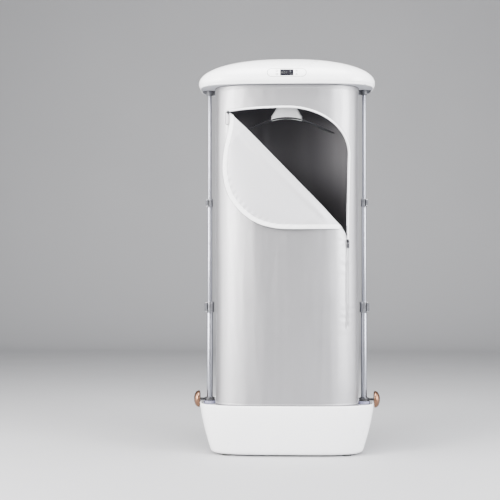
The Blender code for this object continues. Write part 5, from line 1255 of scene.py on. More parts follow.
def doorEdge(s):
    # the lowest and highest edge of the doorway in this column of cloth
    low = 1.16
    for _ in range(8):
        low = lowEdge(rimAt(leanTo(s, low))[0])
    return low, max(low, archTop(rimAt(leanTo(s, door["shoulder"]))[0]))


def makeArch():
    # the doorway's edge from the top left over the arch and down the right side
    shoulder, top, (rightX, rightZ) = door["shoulder"], door["top"], door["right"]
    spots = [(alongOf(x), archTop(x)) for x in [door["left"][0] * (1 - step / 60) for step in range(60)]]
    for step in range(91):
        turn = math.pi / 2 * step / 90
        height = shoulder + (top - shoulder) * math.cos(turn)
        spots.append((alongOf((rightX + door["lean"]) * math.sin(turn)), height))
    return spots + [(sRight + leanAlong * (1 - step / 30), shoulder + (rightZ - shoulder) * step / 30)
                    for step in range(1, 31)]


archSpots = makeArch()
innerSlit = [onCloth(spot) for spot in slitLine[-2::-1]]
doorLine = [(sLeft, foldStart.y)] + archSpots + innerSlit
doorArea = abs(sum(a[0] * b[1] - b[0] * a[1] for a, b in zip(doorLine, doorLine[1:] + doorLine[:1]))) / 2
clothFlat = {"flat": (clothRound, tube["flatHeight"]), "area": clothRound * tube["flatHeight"] - doorArea}


def clothColumns():
    # the columns keep to the corners of the doorway; outside it they are even
    inside = [sLeft * (1 - step / 38) for step in range(38)]
    inside += [alongOf(door["right"][0] * math.sin(math.pi / 2 * step / 46)) for step in range(46)]
    corners = [alongOf(spot.x) for spot in slitLine[:-2]] + [sRest, sRight]
    inside = sorted(set(inside + corners))
    kept = [inside[0]]
    for s in inside[1:]:
        if s - kept[-1] > 0.0006 or s in corners:
            kept.append(s)
    span = rimLength - (sRight - sLeft)
    count = round(span / tube["columnPitch"])
    return [(s, True) for s in kept] + [(sRight + span * step / count, False) for step in range(1, count)]


def columnEdges(s, inSpan):
    if inSpan:
        return doorEdge(s)
    fromRight, fromLeft = s - sRight, sLeft + rimLength - s
    near = doorEdge(sRight) if fromRight < fromLeft else doorEdge(sLeft)
    part = smooth(min(fromRight, fromLeft), 0, tube["settle"])
    return [first + (second - first) * part for first, second in zip(near, tube["settleLevels"])]


def clothTube(name, offset, wall, finish, density=1.0, lay=onWall, trim=0.0):
    # one cloth round the plan with its doorway left open, then thickened inwards
    below, within, above = (round(count * density) for count in tube["rows"])
    ends, mesh, grid = (tube["low"] + trim, tube["high"] - trim), bmesh.new(), []
    for s, inSpan in clothColumns():
        low, high = columnEdges(s, inSpan)
        levels = [ends[0] + (low - ends[0]) * (row / below) for row in range(below + 1)]
        levels += [low + (high - low) * row / within for row in range(1, within)]
        levels += [high + (ends[1] - high) * row / above for row in range(above + 1)]
        line = []
        for index, z in enumerate(levels):
            if high - low < 1e-5 and below < index <= below + within:
                line.append(line[-1])
            else:
                line.append(mesh.verts.new(lay((leanTo(s, z), z), offset)))
        grid.append((line, inSpan))
    for (line, inSpan), (nextLine, nextSpan) in zip(grid, grid[1:] + grid[:1]):
        for row in range(len(line) - 1):
            if inSpan and nextSpan and below <= row < below + within:
                continue
            corners = list(dict.fromkeys([line[row], nextLine[row], nextLine[row + 1], line[row + 1]]))
            if len(corners) > 2:
                mesh.faces.new(corners)
    loose = [vertex for vertex in mesh.verts if not vertex.link_faces]
    bmesh.ops.delete(mesh, geom=loose, context="VERTS")
    piece = newPiece(name, mesh, finish, 60)
    thick = piece.modifiers.new("cloth", "SOLIDIFY")
    thick.thickness, thick.offset = wall, -1
    return worked(piece)


def gathers(piece):
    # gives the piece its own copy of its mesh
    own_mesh(piece)
    return piece


def sewnPieces(body, *rows):
    # rows of name, mesh, finish and crease angle
    return [gathers(ride(newPiece(*row), body)) for row in rows]


def makeCover():
    low, high, hem = tube["low"], tube["high"], tube["hem"]
    cover = gathers(standFor(clothTube("fabricCover", 0.0, tube["coverWall"], "pearl"), "base"))
    hems, stitches = bmesh.new(), bmesh.new()
    rounds = [rimLength * (step / 260 - 0.5) for step in range(261)]
    lowHem = (low + 0.0006, low + hem, low + hem - 0.0022)
    highHem = (high - hem, high - 0.0006, high - hem + 0.0022)
    for bottom, top, seam in (lowHem, highHem):
        walk = evenly([(s, bottom) for s in rounds], 0.0066)[:-1]
        layBand(hems, walk, onWall, bandSection(0, top - bottom, 0.0001, 0.0009, 5), loop=True)
        walk = evenly([(s, seam) for s in rounds], 0.0032)[:-1]
        layBlocks(stitches, walk, onWall, stitch["half"], -0.00022, 0.00022, 0.0008, 0.0012)
    # the seam up the back, felled over to one side
    back = [(rimLength / 2, low + 0.004), (rimLength / 2, high - 0.012)]
    layBand(hems, evenly(back, 0.009), onWall, bandSection(-0.006, 0.006, 0.0001, 0.0008, 4))
    for aside in (-0.0045, 0.0045):
        layStitches(stitches, [(s + aside, z) for s, z in back], onWall, 0, 0.0007, 0.0011, 0.0032)
    sewn = sewnPieces("base", ("coverHems", hems, "pearl", 60), ("coverStitches", stitches, "thread", 60))
    # painted shadow: a dark cord stands for the shade in the joint under the lid, and another for the shade in
    # the joint on the deck
    for name, body, bottom, top in (("topSeal", "lid", 1.5146, 1.5162), ("bottomSeal", "base", 0.2068, 0.2098)):
        walk = evenly([(s, (bottom + top) / 2) for s in rounds], 0.0066)[:-1]
        half = (top - bottom) / 2
        turns = [tau * step / 10 for step in range(10)]
        section = [(half * math.cos(turn), 0.0012 + 0.0009 * math.sin(turn)) for turn in turns]
        ride(newPiece(name, meshOf((layBand, walk, onWall, section, True)), "shadow", 60), body)


def makeLining():
    lining = clothTube("innerLining", -tube["liningInset"], tube["liningWall"], "lining", 0.7, onLining, 0.0002)
    lining = gathers(standFor(lining, "base"))


# zip round the doorway
zipper = {"pitch": 0.0021, "toothAlong": 0.00066, "toothReach": 0.0021, "placket": 0.0063, "turnIn": 0.022}


def layTeeth(mesh, line, low, high, bottom, top, lay=onWall):
    layBlocks(mesh, evenly(line, zipper["pitch"]), lay, zipper["toothAlong"], low, high, bottom, top)


def makeZip():
    tape, teeth, stitches, shadowStrips, greyTeeth, lips = (bmesh.new() for _ in range(6))
    rightZ, (restX, restZ), band, half = door["right"][1], door["rest"], door["band"], zipper["placket"]
    slit = [(alongOf(restX + 0.0004), restZ + 0.015), restSpot]
    edgeSpots = archSpots + slit
    walk = evenly(edgeSpots, 0.0045)
    layBand(tape, walk, onWall, bandSection(-0.0002, band, 0.0003, 0.0013, 4))
    # the raw edges of cover and lining turn in under the tape
    turnedIn = [spot for spot in archSpots if spot[1] > rightZ + zipper["turnIn"]]
    layBand(tape, evenly(turnedIn, 0.0045), onWall, boxCorners(-0.0010, 0.0002, 0.0012, -0.0064))
    layTeeth(teeth, archSpots, -zipper["toothReach"] - 0.0008, -0.0006, -0.0006, 0.0009)
    layStitches(stitches, edgeSpots, onWall, band - 0.0014, 0.0012, 0.0016)
    # painted shadow: a dark strip along the tape's outer edge stands for the shade there
    layBand(shadowStrips, walk, onWall, bandSection(band - 0.0002, band + 0.0011, 0.0001, 0.0007, 2, 0.0003))
    # the inner side of the slit at the corner, where the slider rests
    layBand(lips, evenly(innerSlit, 0.003), onWall, bandSection(-0.0002, band * 0.55, 0.0003, 0.0013, 3))
    for side in (innerSlit, [(sRight, rightZ)] + slit):
        layTeeth(greyTeeth, side, -0.0011, 0.0002, 0.0006, 0.0015)
    # the closed run under its two lips
    closed = [(sRest, restZ - 0.001), (sRest, door["zipEnd"])]
    run = evenly(closed, 0.006)
    lip = [(0.0007, 0.0012), (0.0010, 0.0018), (0.0022, 0.0021), (0.0042, 0.0020)]
    lip += [(half - 0.0012, 0.0016), (half, 0.0008), (half, 0.0002), (0.0007, 0.0003)]
    for sign, shadowWidth in ((-1, 0.0011), (1, 0.0017)):
        layBand(lips, run, onWall, [(sign * aside, off) for aside, off in lip][::sign])
        layStitches(stitches, closed, onWall, sign * 0.0044, 0.0019, 0.0023)
        # painted shadow: a dark strip beside each lip stands for the shade there, wider on the right
        ends = sorted((sign * half, sign * (half + shadowWidth)))
        layBand(shadowStrips, run, onWall, bandSection(*ends, 0.0001, 0.0006, 2, 0.0003))
    layTeeth(teeth, closed, -0.0007, 0.0007, 0.0003, 0.0015)
    stop = evenly([(sRest, door["zipEnd"] + 0.004), (sRest, door["zipEnd"] - 0.006)], 0.005)
    layBand(lips, stop, onWall, bandSection(-half - 0.0008, half + 0.0008, 0.0003, 0.0026, 4))
    tapePiece = gathers(standFor(newPiece("doorZipTape", tape, "tape", 50), "base", "door_zip"))
    sewn = sewnPieces(
        "base", ("doorZipTeeth", teeth, "teeth", 30), ("doorZipStitches", stitches, "thread", 60),
        ("doorZipPiping", shadowStrips, "shadow", 60), ("slitZipTeeth", greyTeeth, "bracketGrey", 30),
        ("doorZipLips", lips, "pearl", 50))


# flap, folded down and out over the wall
flap = {
    "start": 0.010, "end": 0.950, "columns": 150, "rows": 52, "foldSteps": 14, "foldRadius": 0.0035,
    "leastRadius": 0.4, "taperReach": 0.120, "standOff": 0.005, "hemOff": 0.009, "relaxReach": 0.060,
    "relaxShare": 0.40, "wall": 0.0014, "binding": 0.0172, "lineAt": -0.00075, "foldBack": -0.0003,
    "edgeBack": 0.0020, "reachSteps": 400, "flatDepth": 0.26,
    # how far the hem hangs from the fold: the share along it, then the distance
    "hem": (
        (0.0, 0.0030), (0.0152, 0.0060), (0.068, 0.045), (0.1097, 0.0888), (0.1432, 0.1232),
        (0.1828, 0.1576), (0.2214, 0.185), (0.2621, 0.2069), (0.3108, 0.2278), (0.3616, 0.243),
        (0.4236, 0.2502), (0.4815, 0.2515), (0.5475, 0.2457), (0.6156, 0.2282), (0.6836, 0.1981),
        (0.7293, 0.1694), (0.7893, 0.1271), (0.8695, 0.0689), (0.9305, 0.0246), (0.950, 0.0100), (1.0, 0.0040),
    ),
}


def hemReach(share):
    spots = flap["hem"]
    for (firstShare, first), (secondShare, second) in zip(spots, spots[1:]):
        if share <= secondShare:
            part = (share - firstShare) / (secondShare - firstShare)
            return first + (second - first) * part - flap["edgeBack"]
    return spots[-1][1] - flap["edgeBack"]


def makeReachTable():
    # the hem's distances, each evened out with its neighbours
    count = flap["reachSteps"]
    raw, table = [hemReach(step / count) for step in range(count + 1)], []
    for index in range(count + 1):
        span = min(9, index, count - index)
        near = raw[index - span:index + span + 1]
        table.append(sum(near) / len(near))
    return table


reachTable = makeReachTable()


def reachAt(share):
    place = min(1, max(0, share)) * flap["reachSteps"]
    low = min(flap["reachSteps"] - 1, int(place))
    return reachTable[low] + (reachTable[low + 1] - reachTable[low]) * (place - low)


def flapTaper(share):
    # the flap lies flat at its two ends, where it is narrow
    return min(1, reachAt(share) / flap["taperReach"])


def foldRadius(share):
    return flap["foldRadius"] * max(flap["leastRadius"], flapTaper(share))


def flapPlace(share, away):
    return foldStart + foldLine * share - foldAcross * away


def flapSpot(share, away, off):
    spot = flapPlace(share, away)
    relax = min(1, max(0, away) / flap["relaxReach"])
    wall = tubeDepth(spot.x)
    wall += flap["relaxShare"] * relax * relax * flapTaper(share) * (tube["halfDepth"] - wall)
    return Vector((spot.x, -wall - off, spot.y))


def flapRise(share, away):
    # height of the flap's middle line over the wall past its fold
    reach, taper, u = reachAt(share), flapTaper(share), share * foldLength
    part, edge, turn = min(1, away / max(1e-6, reach)), reach - away, smooth(away, 0, 0.006)
    seat = flap["lineAt"] + 2 * foldRadius(share)
    rise = seat + flap["standOff"] * math.sin(math.pi * min(1, part)) * taper
    # the hem swings clear of the wall, and a soft ridge runs along the fold
    rise += flap["hemOff"] * smooth(part, 0.15, 1.0) * taper
    ridge = bell(away - 0.026 - 0.006 * math.sin(u * 7), 0.013) * smooth(reach, 0.05, 0.12)
    rise += 0.0042 * ridge * smooth(share, 0.05, 0.2) * smooth(1 - share, 0.04, 0.16)
    rise += 0.0020 * taper * wavy(u * 6, away * 9, 3.1) * smooth(away, 0.01, 0.05)
    pucker = math.sin(u * 260 + 5 * wavy(u * 9, 2, 2))
    rise += 0.0010 * taper * bell(edge - flap["binding"] - 0.006, 0.009) * pucker
    rise += 0.0010 * taper * bell(edge, 0.05) * math.sin(u * 38 + 1.3)
    bare = coverLift(*onCloth(flapPlace(share, away))) + flap["wall"] / 2 + 0.0003
    return max(rise, seat - 0.0012, bare * turn + seat * (1 - turn))


def onFlap(spot, off):
    # spot holds the distance along the fold and the distance away from it
    share = spot[0] / foldLength
    return flapSpot(share, spot[1], flapRise(share, spot[1]) + flap["wall"] / 2 + off)


def onHem(spot, off):
    # the binding narrows where the flap itself is narrower than its binding
    reach = reachAt(spot[0] / foldLength)
    shrink = min(1, max(0.0010, reach - 0.0012) / (flap["binding"] + 0.0004))
    away = spot[1] if spot[1] > reach else reach + (spot[1] - reach) * shrink
    return onFlap((spot[0], away), off)


def flapLine(share):
    # the flap's middle line across the fold: round the turn, then out to the hem
    reach, radius, steps, back = reachAt(share), foldRadius(share), flap["foldSteps"], flap["foldBack"]
    line = [Vector((back, flap["lineAt"]))]
    for step in range(1, steps + 1):
        turn = math.pi * step / steps
        line.append(Vector((back - radius * math.sin(turn), flap["lineAt"] + radius * (1 - math.cos(turn)))))
    for row in range(1, flap["rows"] + 1):
        away = reach * (row / flap["rows"]) ** 0.9
        line.append(Vector((away, flapRise(share, away))))
    return line


def flapShares(count):
    return [flap["start"] + (flap["end"] - flap["start"]) * step / count for step in range(count + 1)]


def flapMesh():
    mesh, grid = bmesh.new(), []
    for share in flapShares(flap["columns"]):
        points, faces = flapLine(share), ([], [])
        for step, point in enumerate(points):
            way = (points[min(step + 1, len(points) - 1)] - points[max(step - 1, 0)]).normalized()
            square = Vector((-way.y, way.x)) * flap["wall"] / 2
            for row, sign in zip(faces, (1, -1)):
                row.append(mesh.verts.new(flapSpot(share, *(point + square * sign))))
        grid.append(faces)
    top = len(grid[0][0]) - 1
    for (over, under), (nextOver, nextUnder) in zip(grid, grid[1:]):
        for near, far in ((over, nextOver), (under, nextUnder)):
            for step in range(top):
                mesh.faces.new((near[step], near[step + 1], far[step + 1], far[step]))
        for step in (0, top):
            mesh.faces.new((over[step], under[step], nextUnder[step], nextOver[step]))
    for over, under in (grid[0], grid[-1]):
        for step in range(top):
            mesh.faces.new((over[step], over[step + 1], under[step + 1], under[step]))
    return mesh


def makeFlap():
    piece = gathers(standFor(newPiece("doorFlap", flapMesh(), "flap", 60), "flap"))
    binding, teeth, stitches, wide = bmesh.new(), bmesh.new(), bmesh.new(), flap["binding"]
    edge = [(share * foldLength, reachAt(share)) for share in flapShares(260)]
    # walking from the left end to the right one, the flap lies to the right of the edge
    walk = evenly(edge, 0.0045)
    layBand(binding, walk, onHem, bandSection(-wide, 0.0008, 0.0001, 0.0008, 9))
    layBand(binding, walk, onHem, bandSection(-wide - 0.0002, -wide + 0.0012, 0.0006, 0.0013, 2, 0.0003))
    for aside in (-wide + 0.0024, -0.0024):
        layStitches(stitches, edge, onHem, aside, 0.0007, 0.0012)
    # the teeth are real, but their dark bracket finish, darker than the wall's teeth of the same zip, is a
    # painted shadow line along the flap's edge
    layTeeth(teeth, edge, 0.0006, 0.0006 + zipper["toothReach"], -0.0012, 0.0003, onHem)
    sewn = sewnPieces(
        "flap", ("flapBinding", binding, "binding", 50), ("flapZipTeeth", teeth, "bracketGrey", 30),
        ("flapStitches", stitches, "thread", 60))
    area = foldLength * (flap["end"] - flap["start"]) * sum(reachTable[4:380]) / 376


makeCover()
makeLining()
makeZip()
makeFlap()
print("cloth ready")

# mouldings under the lid and round the tube's two ends
def plateRings(ring, inset, low, high, edge):
    # a thin plate set in from an outline, with broken edges
    levels = ((low, inset + edge), (low + edge, inset), (high - edge, inset), (high, inset + edge))
    return [ring(*level) for level in levels]


def makePlate(name, ring, inset, low, high, finish):
    return lofted(name, plateRings(ring, inset, low, high, (high - low) * 0.25), finish)


def addScrews(name, body, places, radius=0.003):
    heads = bmesh.new()
    for place in places:
        addScrew(heads, place, radius)
    ride(newPiece(name, heads, "steel"), body)


def around(count, offset=0.0):
    # even turns round a circle
    return [tau * (index + offset) / count for index in range(count)]


def spread(turns, reachX, reachY, height):
    # places at these turns of an ellipse
    return [shift(reachX * math.cos(turn), reachY * math.sin(turn), height) for turn in turns]


tray = {
    "low": 1.5165, "high": 1.5195, "ductHalfWidth": 0.0418, "ductHalfDepth": 0.0363, "ribs": 5,
    "screws": ((0.318, -0.150), (0.345, 0.0), (0.318, 0.150)),
}
traySeat = tray["high"] + 0.0003
hoops = {"inset": 0.0018, "wall": 0.0018, "sides": 200, "top": (1.5082, 1.5162), "bottom": (0.1993, 0.2073)}
upsideDown = spin(math.pi, "X")


def makeTray():
    inset = lid["curl"] + lid["wall"] + 0.0003
    plate = makePlate("lidTray", lidRing, inset, tray["low"], tray["high"], "satinGrey")
    outline = [(x, y) for x, y, _ in roundOutline(tray["ductHalfWidth"], tray["ductHalfDepth"], 7, 0, 64)]
    standFor(cut(plate, (addPrism, outline, 1.4, 1.6)), "lid")
    spots = [(side * x, y) for side in (-1, 1) for x, y in tray["screws"]]
    addScrews("trayScrews", "lid", [shift(x, y, tray["low"]) @ upsideDown for x, y in spots])
    ribs = bmesh.new()
    for side in (-1, 1):
        for index in range(tray["ribs"]):
            x = side * (0.12 + 0.042 * index)
            addBox(ribs, (x - 0.0012, -0.095, tray["high"] - 0.0002), (x + 0.0012, 0.095, tray["high"] + 0.006))
    ride(softenEdges(newPiece("trayRibs", ribs, "satinGrey"), 0.0004), "lid")


def hoopRing(height, inset):
    halfWidth, halfDepth = tube["halfWidth"] - inset, tube["halfDepth"] - inset
    return roundOutline(halfWidth, halfDepth, tube["power"], height, hoops["sides"])


def makeHoops():
    # hoops that follow the tube's plan
    inset, within, edge = hoops["inset"], hoops["inset"] + hoops["wall"], hoops["wall"] * 0.25
    for name, body in (("top", "lid"), ("bottom", "base")):
        low, high = hoops[name]
        levels = ((high, within - edge), (high - edge, within), (low + edge, within), (low, within - edge))
        rings = plateRings(hoopRing, inset, low, high, edge) + [hoopRing(*level) for level in levels]
        standFor(lofted(name + "Hoop", rings, "steel", loop=True), body)


bracket = {
    "drop": 0.020, "wall": 0.005, "rib": 0.009, "inboard": 0.0225, "outboard": 0.0285, "tip": 0.006,
    "bore": 0.0083,
}


def makeBracket(side):
    # socket and raking ribs in one moulding
    place, word, bore = polePlace(side), sideWords[side], bracket["bore"]
    top, bottom, half = tray["low"] - 0.0003, tray["low"] - bracket["drop"], bracket["rib"] / 2
    radius, inboard, outboard = bore + bracket["wall"], bracket["inboard"], bracket["outboard"]
    profile = [(radius, top), (radius, bottom + 0.0012), (radius - 0.0012, bottom), (bore, bottom), (bore, top)]
    body = turned("poleBracket" + word, profile, "bracketGrey", 56, True, place)
    points = [(-inboard, top), (-inboard, bottom + bracket["tip"] / 2), (-radius + 0.002, bottom + 0.0004)]
    points += [(radius - 0.002, bottom + 0.0004), (outboard, top - bracket["tip"]), (outboard, top)]
    unite(body, (addRings, [[(x, y, z) for x, z in points] for y in (-half, half)], place))
    cut(body, (addRings, [circle(bore, z, 48) for z in (bottom - 0.01, top + 0.01)], place))
    slots = bmesh.new()
    for low, high in ((-inboard + 0.0028, -radius - 0.0010), (radius + 0.0014, outboard - 0.0034)):
        # the ribs are cored from below on both flanks
        core = ((low, top - 0.0020), (high, top - 0.0020), (high, bottom + 0.0060), (low, bottom + 0.0085))
        for y in (-half, half):
            addRings(slots, [[(x, y + deep, z) for x, z in core] for deep in (-0.0026, 0.0026)], place)
    standFor(softenEdges(cut(body, slots), 0.0005), "lid")
    near, far = bore + 0.0002, bore + 0.0014
    profile = [(far, bottom - 0.0001), (far, bottom - 0.0007), (near, bottom - 0.0007), (near, bottom - 0.0001)]
    ride(turned("poleSeal" + word, profile, "black", 48, True, place), "lid")


makeTray()
makeHoops()
for side in (-1, 1):
    makeBracket(side)


# duct and hanger inside the tube
duct = {
    "neck": 0.0415, "half": 0.065, "depth": 0.036, "neckHeight": 1.440, "shoulder": 1.406, "low": 1.391,
    "bow": 0.010, "wall": 0.0025, "flange": 0.012, "power": 7, "sides": 96,
    "vanes": (-0.044, -0.022, 0.022, 0.044),
}
hanger = {
    "reach": 0.200, "middle": 0.030, "slope": math.radians(25), "height": 1.404, "thin": 0.013, "grow": 0.005,
}


def ductRing(half, depth, height):
    return roundOutline(half, depth, duct["power"], height, duct["sides"])


def hangerHeight(x):
    past = max(0, abs(x) - hanger["middle"])
    return hanger["height"] - math.tan(hanger["slope"]) * past * past / (past + hanger["middle"])


def hangerRings(spare, stations=60, sides=28):
    rings = []
    for step in range(-stations, stations + 1):
        share = step / stations
        x = share * (hanger["reach"] + spare)
        tip = 0.4 + 0.6 * math.sqrt(max(0, 1 - share ** 8))
        deep = (hanger["thin"] + hanger["grow"] * abs(share)) * tip + spare
        section = roundOutline(deep, 0.0055 * tip + spare, 2.5, 0, sides)
        rings.append([(x, y, hangerHeight(x) + z) for y, z, _ in section])
    return rings


def makeDuct():
    neck, wide, deep, wall = duct["neck"], duct["half"], duct["depth"], duct["wall"]
    low, shoulder, neckHeight, flange = duct["low"], duct["shoulder"], duct["neckHeight"], duct["flange"]
    rings = [ductRing(wide - 0.0006, deep - 0.0006, low), ductRing(wide, deep, low + 0.0006)]
    rings.append(ductRing(wide, deep, shoulder - 0.004))
    for step in range(13):
        part = step / 12
        height = shoulder - 0.002 + (neckHeight - shoulder + 0.004) * part
        rings.append(ductRing(wide + (neck - wide) * part ** 1.02, deep, height))
    rings += [ductRing(neck, deep, neckHeight + 0.006), ductRing(neck, deep, traySeat)]
    rings += [ductRing(neck + flange, deep + flange, height) for height in (traySeat, traySeat + wall)]
    rings += [ductRing(neck - wall, deep - wall, height) for height in (traySeat + wall, neckHeight)]
    rings += [ductRing(wide - wall, deep - wall, height) for height in (shoulder, low)]
    body = lofted("airDuct", rings, "glossWhite", loop=True, creaseDegrees=26)
    radius = (wide ** 2 + duct["bow"] ** 2) / (2 * duct["bow"])
    half = math.asin((wide + 0.004) / radius)
    outline = arc(radius, math.pi / 2 - half, math.pi / 2 + half, 48, (0, low + duct["bow"] - radius))
    outline += [(-wide - 0.004, low - 0.01), (wide + 0.004, low - 0.01)]
    cut(body, (addFrontPrism, outline, -0.2, 0.2))
    standFor(softenEdges(cut(body, (addRings, hangerRings(0.0005))), 0.0012, 3), "lid")
    # guide vanes just inside its mouth
    vanes = bmesh.new()
    for x in duct["vanes"]:
        addBox(vanes, (x - 0.0008, -0.0325, low + 0.014), (x + 0.0008, 0.0325, shoulder + 0.004))
    ride(newPiece("ductVanes", vanes, "satinGrey"), "lid")


def makeHanger():
    standFor(lofted("hangerBar", hangerRings(0.0), "black", creaseDegrees=50), "lid")
    # soft pads let into the shoulders, so that nothing slides off
    pads = bmesh.new()
    for side in (-1, 1):
        for index in range(9):
            share = side * (0.50 + 0.045 * index)
            x = share * hanger["reach"]
            half = (hanger["thin"] + hanger["grow"] * abs(share)) * 0.72
            place = shift(x, 0, hangerHeight(x) + 0.0054) @ spin(hanger["slope"] * side, "Y")
            addBox(pads, (-0.0021, -half, -0.0008), (0.0021, half, 0.0006), place)
    ride(softenEdges(newPiece("hangerPads", pads, "rubber"), 0.0003), "lid")


makeDuct()
makeHanger()

# zip sliders and their pulls
slider = {
    "half": 0.0045, "tall": 0.0075, "thick": 0.0040, "waist": 0.70, "off": 0.0018, "pivotOut": 0.0072,
    "bore": 0.0024, "bridgeWall": 0.0014, "bridgeHalf": 0.0018, "barHalf": 0.0011,
}
pulls = {
    # place on the wall, half width, length, foot of the eye
    "right": ((0.2460, 0.8800), 0.0048, 0.030, 0.010), "left": ((-0.23809, 1.4060), 0.0085, 0.052, 0.049),
}
uprightTurn = Matrix(((1, 0, 0, 0), (0, 0, 1, 0), (0, 1, 0, 0), (0, 0, 0, 1)))


def wallPlace(x, z, out):
    # local X runs level along the wall, local Y points off it and local Z is up
    step = tube["halfWidth"] / 40
    slope = (tubeDepth(x + step) - tubeDepth(x - step)) / (2 * step)
    off = Vector((-slope, -1, 0)).normalized()
    place = Matrix((Vector((-off.y, off.x, 0)), off, Vector((0, 0, 1)))).transposed().to_4x4()
    place.translation = Vector((x, -tubeDepth(x), z)) + off * out
    return place


def roundedFoot(halfWidth, top, bottom, corner, steps=9):
    points = [(halfWidth, top), (-halfWidth, top)]
    points += arc(corner, math.pi, 1.5 * math.pi, steps, (-halfWidth + corner, bottom + corner))
    return points + arc(corner, 1.5 * math.pi, tau, steps, (halfWidth - corner, bottom + corner))


def makeSlider(word):
    (x, z), *_ = pulls[word]
    half, tall, waist = slider["half"], slider["tall"], slider["half"] * slider["waist"]
    place = wallPlace(x, z, slider["off"])
    upright = place @ uprightTurn
    # a shield whose flanks draw in, arched over its length
    shield = [(-waist, -tall), (0, -tall * 1.02), (waist, -tall), (half * 0.86, -tall * 0.45), (half, 0)]
    shield += [(half, tall * 0.8), (half * 0.8, tall), (0, tall * 0.86), (-half * 0.8, tall)]
    shield += [(-half, tall * 0.8), (-half, 0), (-half * 0.86, -tall * 0.45)]
    rings = []
    for layer in range(7):
        part = layer / 6
        shrink = 1.0 if part < 0.7 else 1.0 - 0.16 * ((part - 0.7) / 0.3) ** 2
        rings.append([(across * shrink, up * shrink, slider["thick"] * part) for across, up in shield])
    body = lofted(word + "Slider", rings, "darkSteel", place=upright)
    channel = bmesh.new()
    for side in (-1, 1):
        # the two flanks are open where the tapes pass through
        corners = ((0.0024, 0.0012), (0.0060, 0.0012), (0.0060, 0.0024), (0.0024, 0.0024))
        addRings(channel, [[(side * aside, y, up) for aside, up in corners] for y in (-0.01, 0.01)], upright)
    cut(body, channel)
    ring, reach = slider["bore"] + slider["bridgeWall"], slider["bridgeHalf"]
    level = place @ shift(0, slider["pivotOut"], 0) @ spin(math.pi / 2, "Y")
    unite(body, (addRings, [circle(ring, height, 36) for height in (-reach, reach)], level))
    cut(body, (addRings, [circle(slider["bore"], height, 32) for height in (-ring, ring)], level))
    standFor(softenEdges(body, 0.0003), word + "_slider", word + "_zip_slider")
    makePull(word, place @ shift(0, slider["pivotOut"], 0) @ uprightTurn)


def makePull(word, place):
    _, halfWidth, length, eye = pulls[word]
    bar, inner = slider["barHalf"], halfWidth - 0.0022
    blank = roundedFoot(halfWidth, bar, -length, halfWidth * 0.9)
    pull = newPiece(word + "Pull", meshOf((addPrism, blank, -bar, bar, place)), "darkSteel")
    hole = roundedFoot(inner, -bar, -eye, inner * (0.45 if word == "right" else 0.9))
    cut(pull, (addPrism, hole, -0.004, 0.004, place))
    if word == "right":
        # four dimples in either face for the fingers
        dimples = bmesh.new()
        for step in range(4):
            y = -0.0145 - step * 0.0032
            for side in (-1, 1):
                face = ((-0.0030, y), (0.0030, y), (0.0030, y - 0.0012), (-0.0030, y - 0.0012))
                floor = ((-0.0026, y), (0.0026, y), (0.0026, y - 0.0012), (-0.0026, y - 0.0012))
                levels = ((face, 0.0011), (floor, 0.0008))
                addRings(dimples, [[(*spot, side * off) for spot in ring] for ring, off in levels], place)
        cut(pull, dimples)
    standFor(softenEdges(pull, 0.0004), word + "_pull", word + "_zip_pull")


for word in pulls:
    makeSlider(word)
print("duct, hanger and sliders ready")

# deck, floor and what stands between them
deck = {"top": 0.199, "low": 0.196, "bore": 0.0128, "bossWall": 0.004, "socketLow": 0.121, "nozzleY": -0.010}
floorPlate = {
    "low": 0.0063, "high": 0.0093, "rail": 0.090, "vents": (9, 3), "screws": (
        (-0.285, 0.0), (0.285, 0.0), (-0.12, -0.125), (0.12, -0.125), (-0.12, 0.125), (0.12, 0.125)),
}
nozzle = {"radius": 0.036, "height": 0.009, "slots": 8}


def makeDeck():
    plate = makePlate("baseDeck", baseRing, base["rim"] + 0.0003, deck["low"], deck["top"], "deckGrey")
    for side in (-1, 1):
        place, outer, low = polePlace(side), deck["bore"] + deck["bossWall"], deck["socketLow"]
        unite(plate, (addRings, [circle(outer, z, 48) for z in (low - 0.004, deck["top"] - 0.0006)], place))
        cut(plate, (addRings, [circle(deck["bore"], z, 48) for z in (low, 0.3)], place))
    hole = [circle(0.0103, z, 40) for z in (0.15, 0.25)]
    standFor(cut(plate, (addRings, hole, shift(0, deck["nozzleY"], 0))), "base")
    addScrews("deckScrews", "base", spread(around(6, 0.5), 0.17, 0.095, deck["top"]), 0.0032)


def makeFloor():
    low, high, rail = floorPlate["low"], floorPlate["high"], floorPlate["rail"]
    plate = makePlate("baseFloor", baseRing, base["wall"] + base["toe"] + 0.0003, low, high, "satinGrey")
    unite(plate, *((addBox, (x - 0.005, 0.0425, 0.0080), (x + 0.005, 0.0825, 0.0220)) for x in (-rail, rail)))
    vents, (columns, rows) = bmesh.new(), floorPlate["vents"]
    for row in range(rows):
        for column in range(columns):
            x, y = 0.05 + 0.016 * column, -0.085 + 0.026 * row
            addPrism(vents, boxCorners(x - 0.0016, x + 0.0016, y - 0.009, y + 0.009), 0.0, 0.02)
    standFor(softenEdges(cut(plate, vents), 0.0004), "base")
    places = [shift(x, y, low) @ upsideDown for x, y in floorPlate["screws"]]
    addScrews("floorScrews", "base", places, 0.0036)


